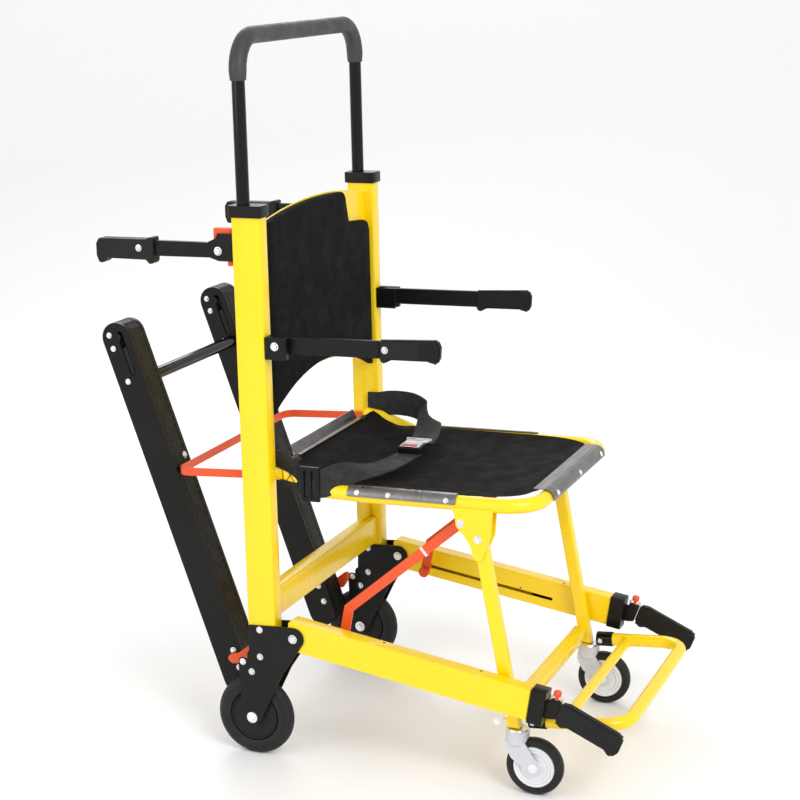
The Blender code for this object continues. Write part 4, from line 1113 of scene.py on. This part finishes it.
# ---------------------------------------------------------------- fixings on the frame
def make_fixings():
    """Bolts of the wheel brackets and pivots, the fold links' orange knobs and white bands that
    paint a highlight on the links.
    """
    x = POST_X + CHEEK
    for y, z in ((-0.021, 0.233), (-0.020, 0.184), (-0.003, 0.155), (0.0135, 0.1715)):
        bolts.both("back_frame", x, y, z, 0.0046)
        for side, _ in SIDES:
            inner = side * (POST_X - CHEEK)
            bolts.button("back_frame", (inner, y, z), (-side, 0, 0), 0.0046)
    bolts.both("back_frame", x, RAIL_PIVOT.y, RAIL_PIVOT.z, 0.0062)
    for side, label in SIDES:
        inner = side * (POST_X - CHEEK)
        bolts.button("back_frame", (inner, RAIL_PIVOT.y, RAIL_PIVOT.z), (-side, 0, 0), 0.0062)
        bolts.button("lower_rails", (side * (POST_X + 0.0146), -0.4465, 0.1217),
                     (side, 0, 0), 0.0046)
        bm = bmesh.new()
        pin = on_rail(0.068, -0.004, side * 0.1925)
        knob = [(-0.0005, 0.0), (-0.0005, 0.0085), (0.0015, 0.0100), (0.0065, 0.0100),
                (0.0090, 0.0078), (0.0096, 0.0)]
        lathe(bm, knob, pin, (-side, 0, 0), 24)
        finish(bm, "link_knob_" + label, ORANGE, "fold_links", bevel=0.0004)
        # White slab on each fold link: a painted highlight that stands in for the shine on the
        # link's bend, not a real band.
        bm = bmesh.new()
        middle = Vector((side * 0.1950, -0.3010, 0.3818))
        run = Vector((0, LINK_TOP.y + 0.1615, LINK_TOP.z - 0.2664)).normalized()
        tall = Vector((0, -run.z, run.y))
        turn = Matrix((Vector((1, 0, 0)), run, tall)).transposed()
        slab(bm, middle, (0.0072, 0.0050, 0.0190), turn)
        finish(bm, "link_painted_highlight_" + label, HUB, "fold_links", bevel=0.0008)
        bm = bmesh.new()
        seam = [(0.0015, 0.1750), (-0.0300, 0.1700), (-0.0620, 0.1575)]
        x0, x1 = side * (POST_X + 0.0180), side * (POST_X + 0.0188)
        loft(bm, [[(x0, y, z), (x1, y, z), (x1, y, z - 0.0014), (x0, y, z - 0.0014)]
                  for y, z in seam])
        finish(bm, "bracket_seam_" + label, SOCKET, "back_frame")


# ---------------------------------------------------------------- stage, light and camera
def make_stage():
    """Pale seamless floor and backdrop."""
    floor_colour = (0.93, 0.93, 0.935)
    m = Nodes("floor", floor_colour, 0.6)
    m.rough_from(m.spread(m.noise(3.0, 3.0), 0.55, 0.7))
    bm = bmesh.new()
    size, wall, flat, bend = 9.0, 6.0, 3.2, 1.4
    profile = [(-size, 0.0), (flat, 0.0)]
    profile += [(flat + bend * math.sin(a), bend - bend * math.cos(a))
                for a in (math.pi / 2 * k / 10 for k in range(1, 11))]
    profile.append((flat + bend, wall))
    rows = [[bm.verts.new((u, v, w)) for v, w in profile] for u in (-size, size)]
    for i in range(len(profile) - 1):
        bm.faces.new((rows[0][i], rows[0][i + 1], rows[1][i + 1], rows[1][i]))
    mesh = bpy.data.meshes.new("studio_floor")
    bm.to_mesh(mesh)
    bm.free()
    mesh.materials.append(m.mat)
    mesh.shade_smooth()
    floor = bpy.data.objects.new("studio_floor", mesh)
    floor.rotation_euler = (0, 0, math.radians(-68.0))
    bpy.context.scene.collection.objects.link(floor)


def make_light(name, place, target, size, power):
    """Rectangular area light aimed at a point."""
    data = bpy.data.lights.new(name, "AREA")
    data.shape = "RECTANGLE"
    data.size, data.size_y = size
    data.energy = power
    lamp = bpy.data.objects.new(name, data)
    lamp.location = place
    direction = Vector(target) - Vector(place)
    lamp.rotation_euler = direction.to_track_quat("-Z", "Y").to_euler()
    bpy.context.scene.collection.objects.link(lamp)


def make_studio():
    """White surroundings and three soft lights."""
    world = bpy.data.worlds.new("studio")
    world.use_nodes = True
    backdrop = world.node_tree.nodes["Background"]
    backdrop.inputs["Color"].default_value = (1.0, 1.0, 1.0, 1.0)
    backdrop.inputs["Strength"].default_value = 0.85
    scene = bpy.context.scene
    scene.world = world
    scene.view_settings.view_transform = "Standard"
    scene.view_settings.look = "None"
    target = (0, 0, 0.55)
    make_light("key", (-2.2, -2.6, 3.0), target, (1.8, 1.8), 70)
    make_light("fill", (-3.0, 1.8, 1.8), target, (2.0, 2.0), 22)
    make_light("rim", (2.4, 1.6, 2.6), target, (1.6, 1.6), 30)


def make_camera():
    """Long lens level with the seat, off the chair's right front corner."""
    data = bpy.data.cameras.new("camera")
    data.sensor_width = 36.0
    data.lens = 86.07
    data.clip_end = 60.0
    camera = bpy.data.objects.new("camera", data)
    right = Vector((0.370306, -0.928856, 0.009993))
    up = Vector((0.22175, 0.098842, 0.970081))
    back = right.cross(up)
    turn = Matrix((right, up, back)).transposed()
    camera.matrix_world = Matrix.Translation((-3.0320, -1.1900, 1.4104)) @ turn.to_4x4()
    bpy.context.scene.collection.objects.link(camera)
    bpy.context.scene.camera = camera


make_frame()
make_frame_details()
make_seat_frame()
seat_cloth = make_seat_cloth()
make_seat_strips()
make_backrest()
make_belt()
make_upper_handle()
make_rear_handles()
make_armrests()
make_front_handles()
make_rear_wheels()
make_casters()
make_footrest()
make_tracks()
make_fixings()
bolts.done()
make_stage()
make_studio()
make_camera()
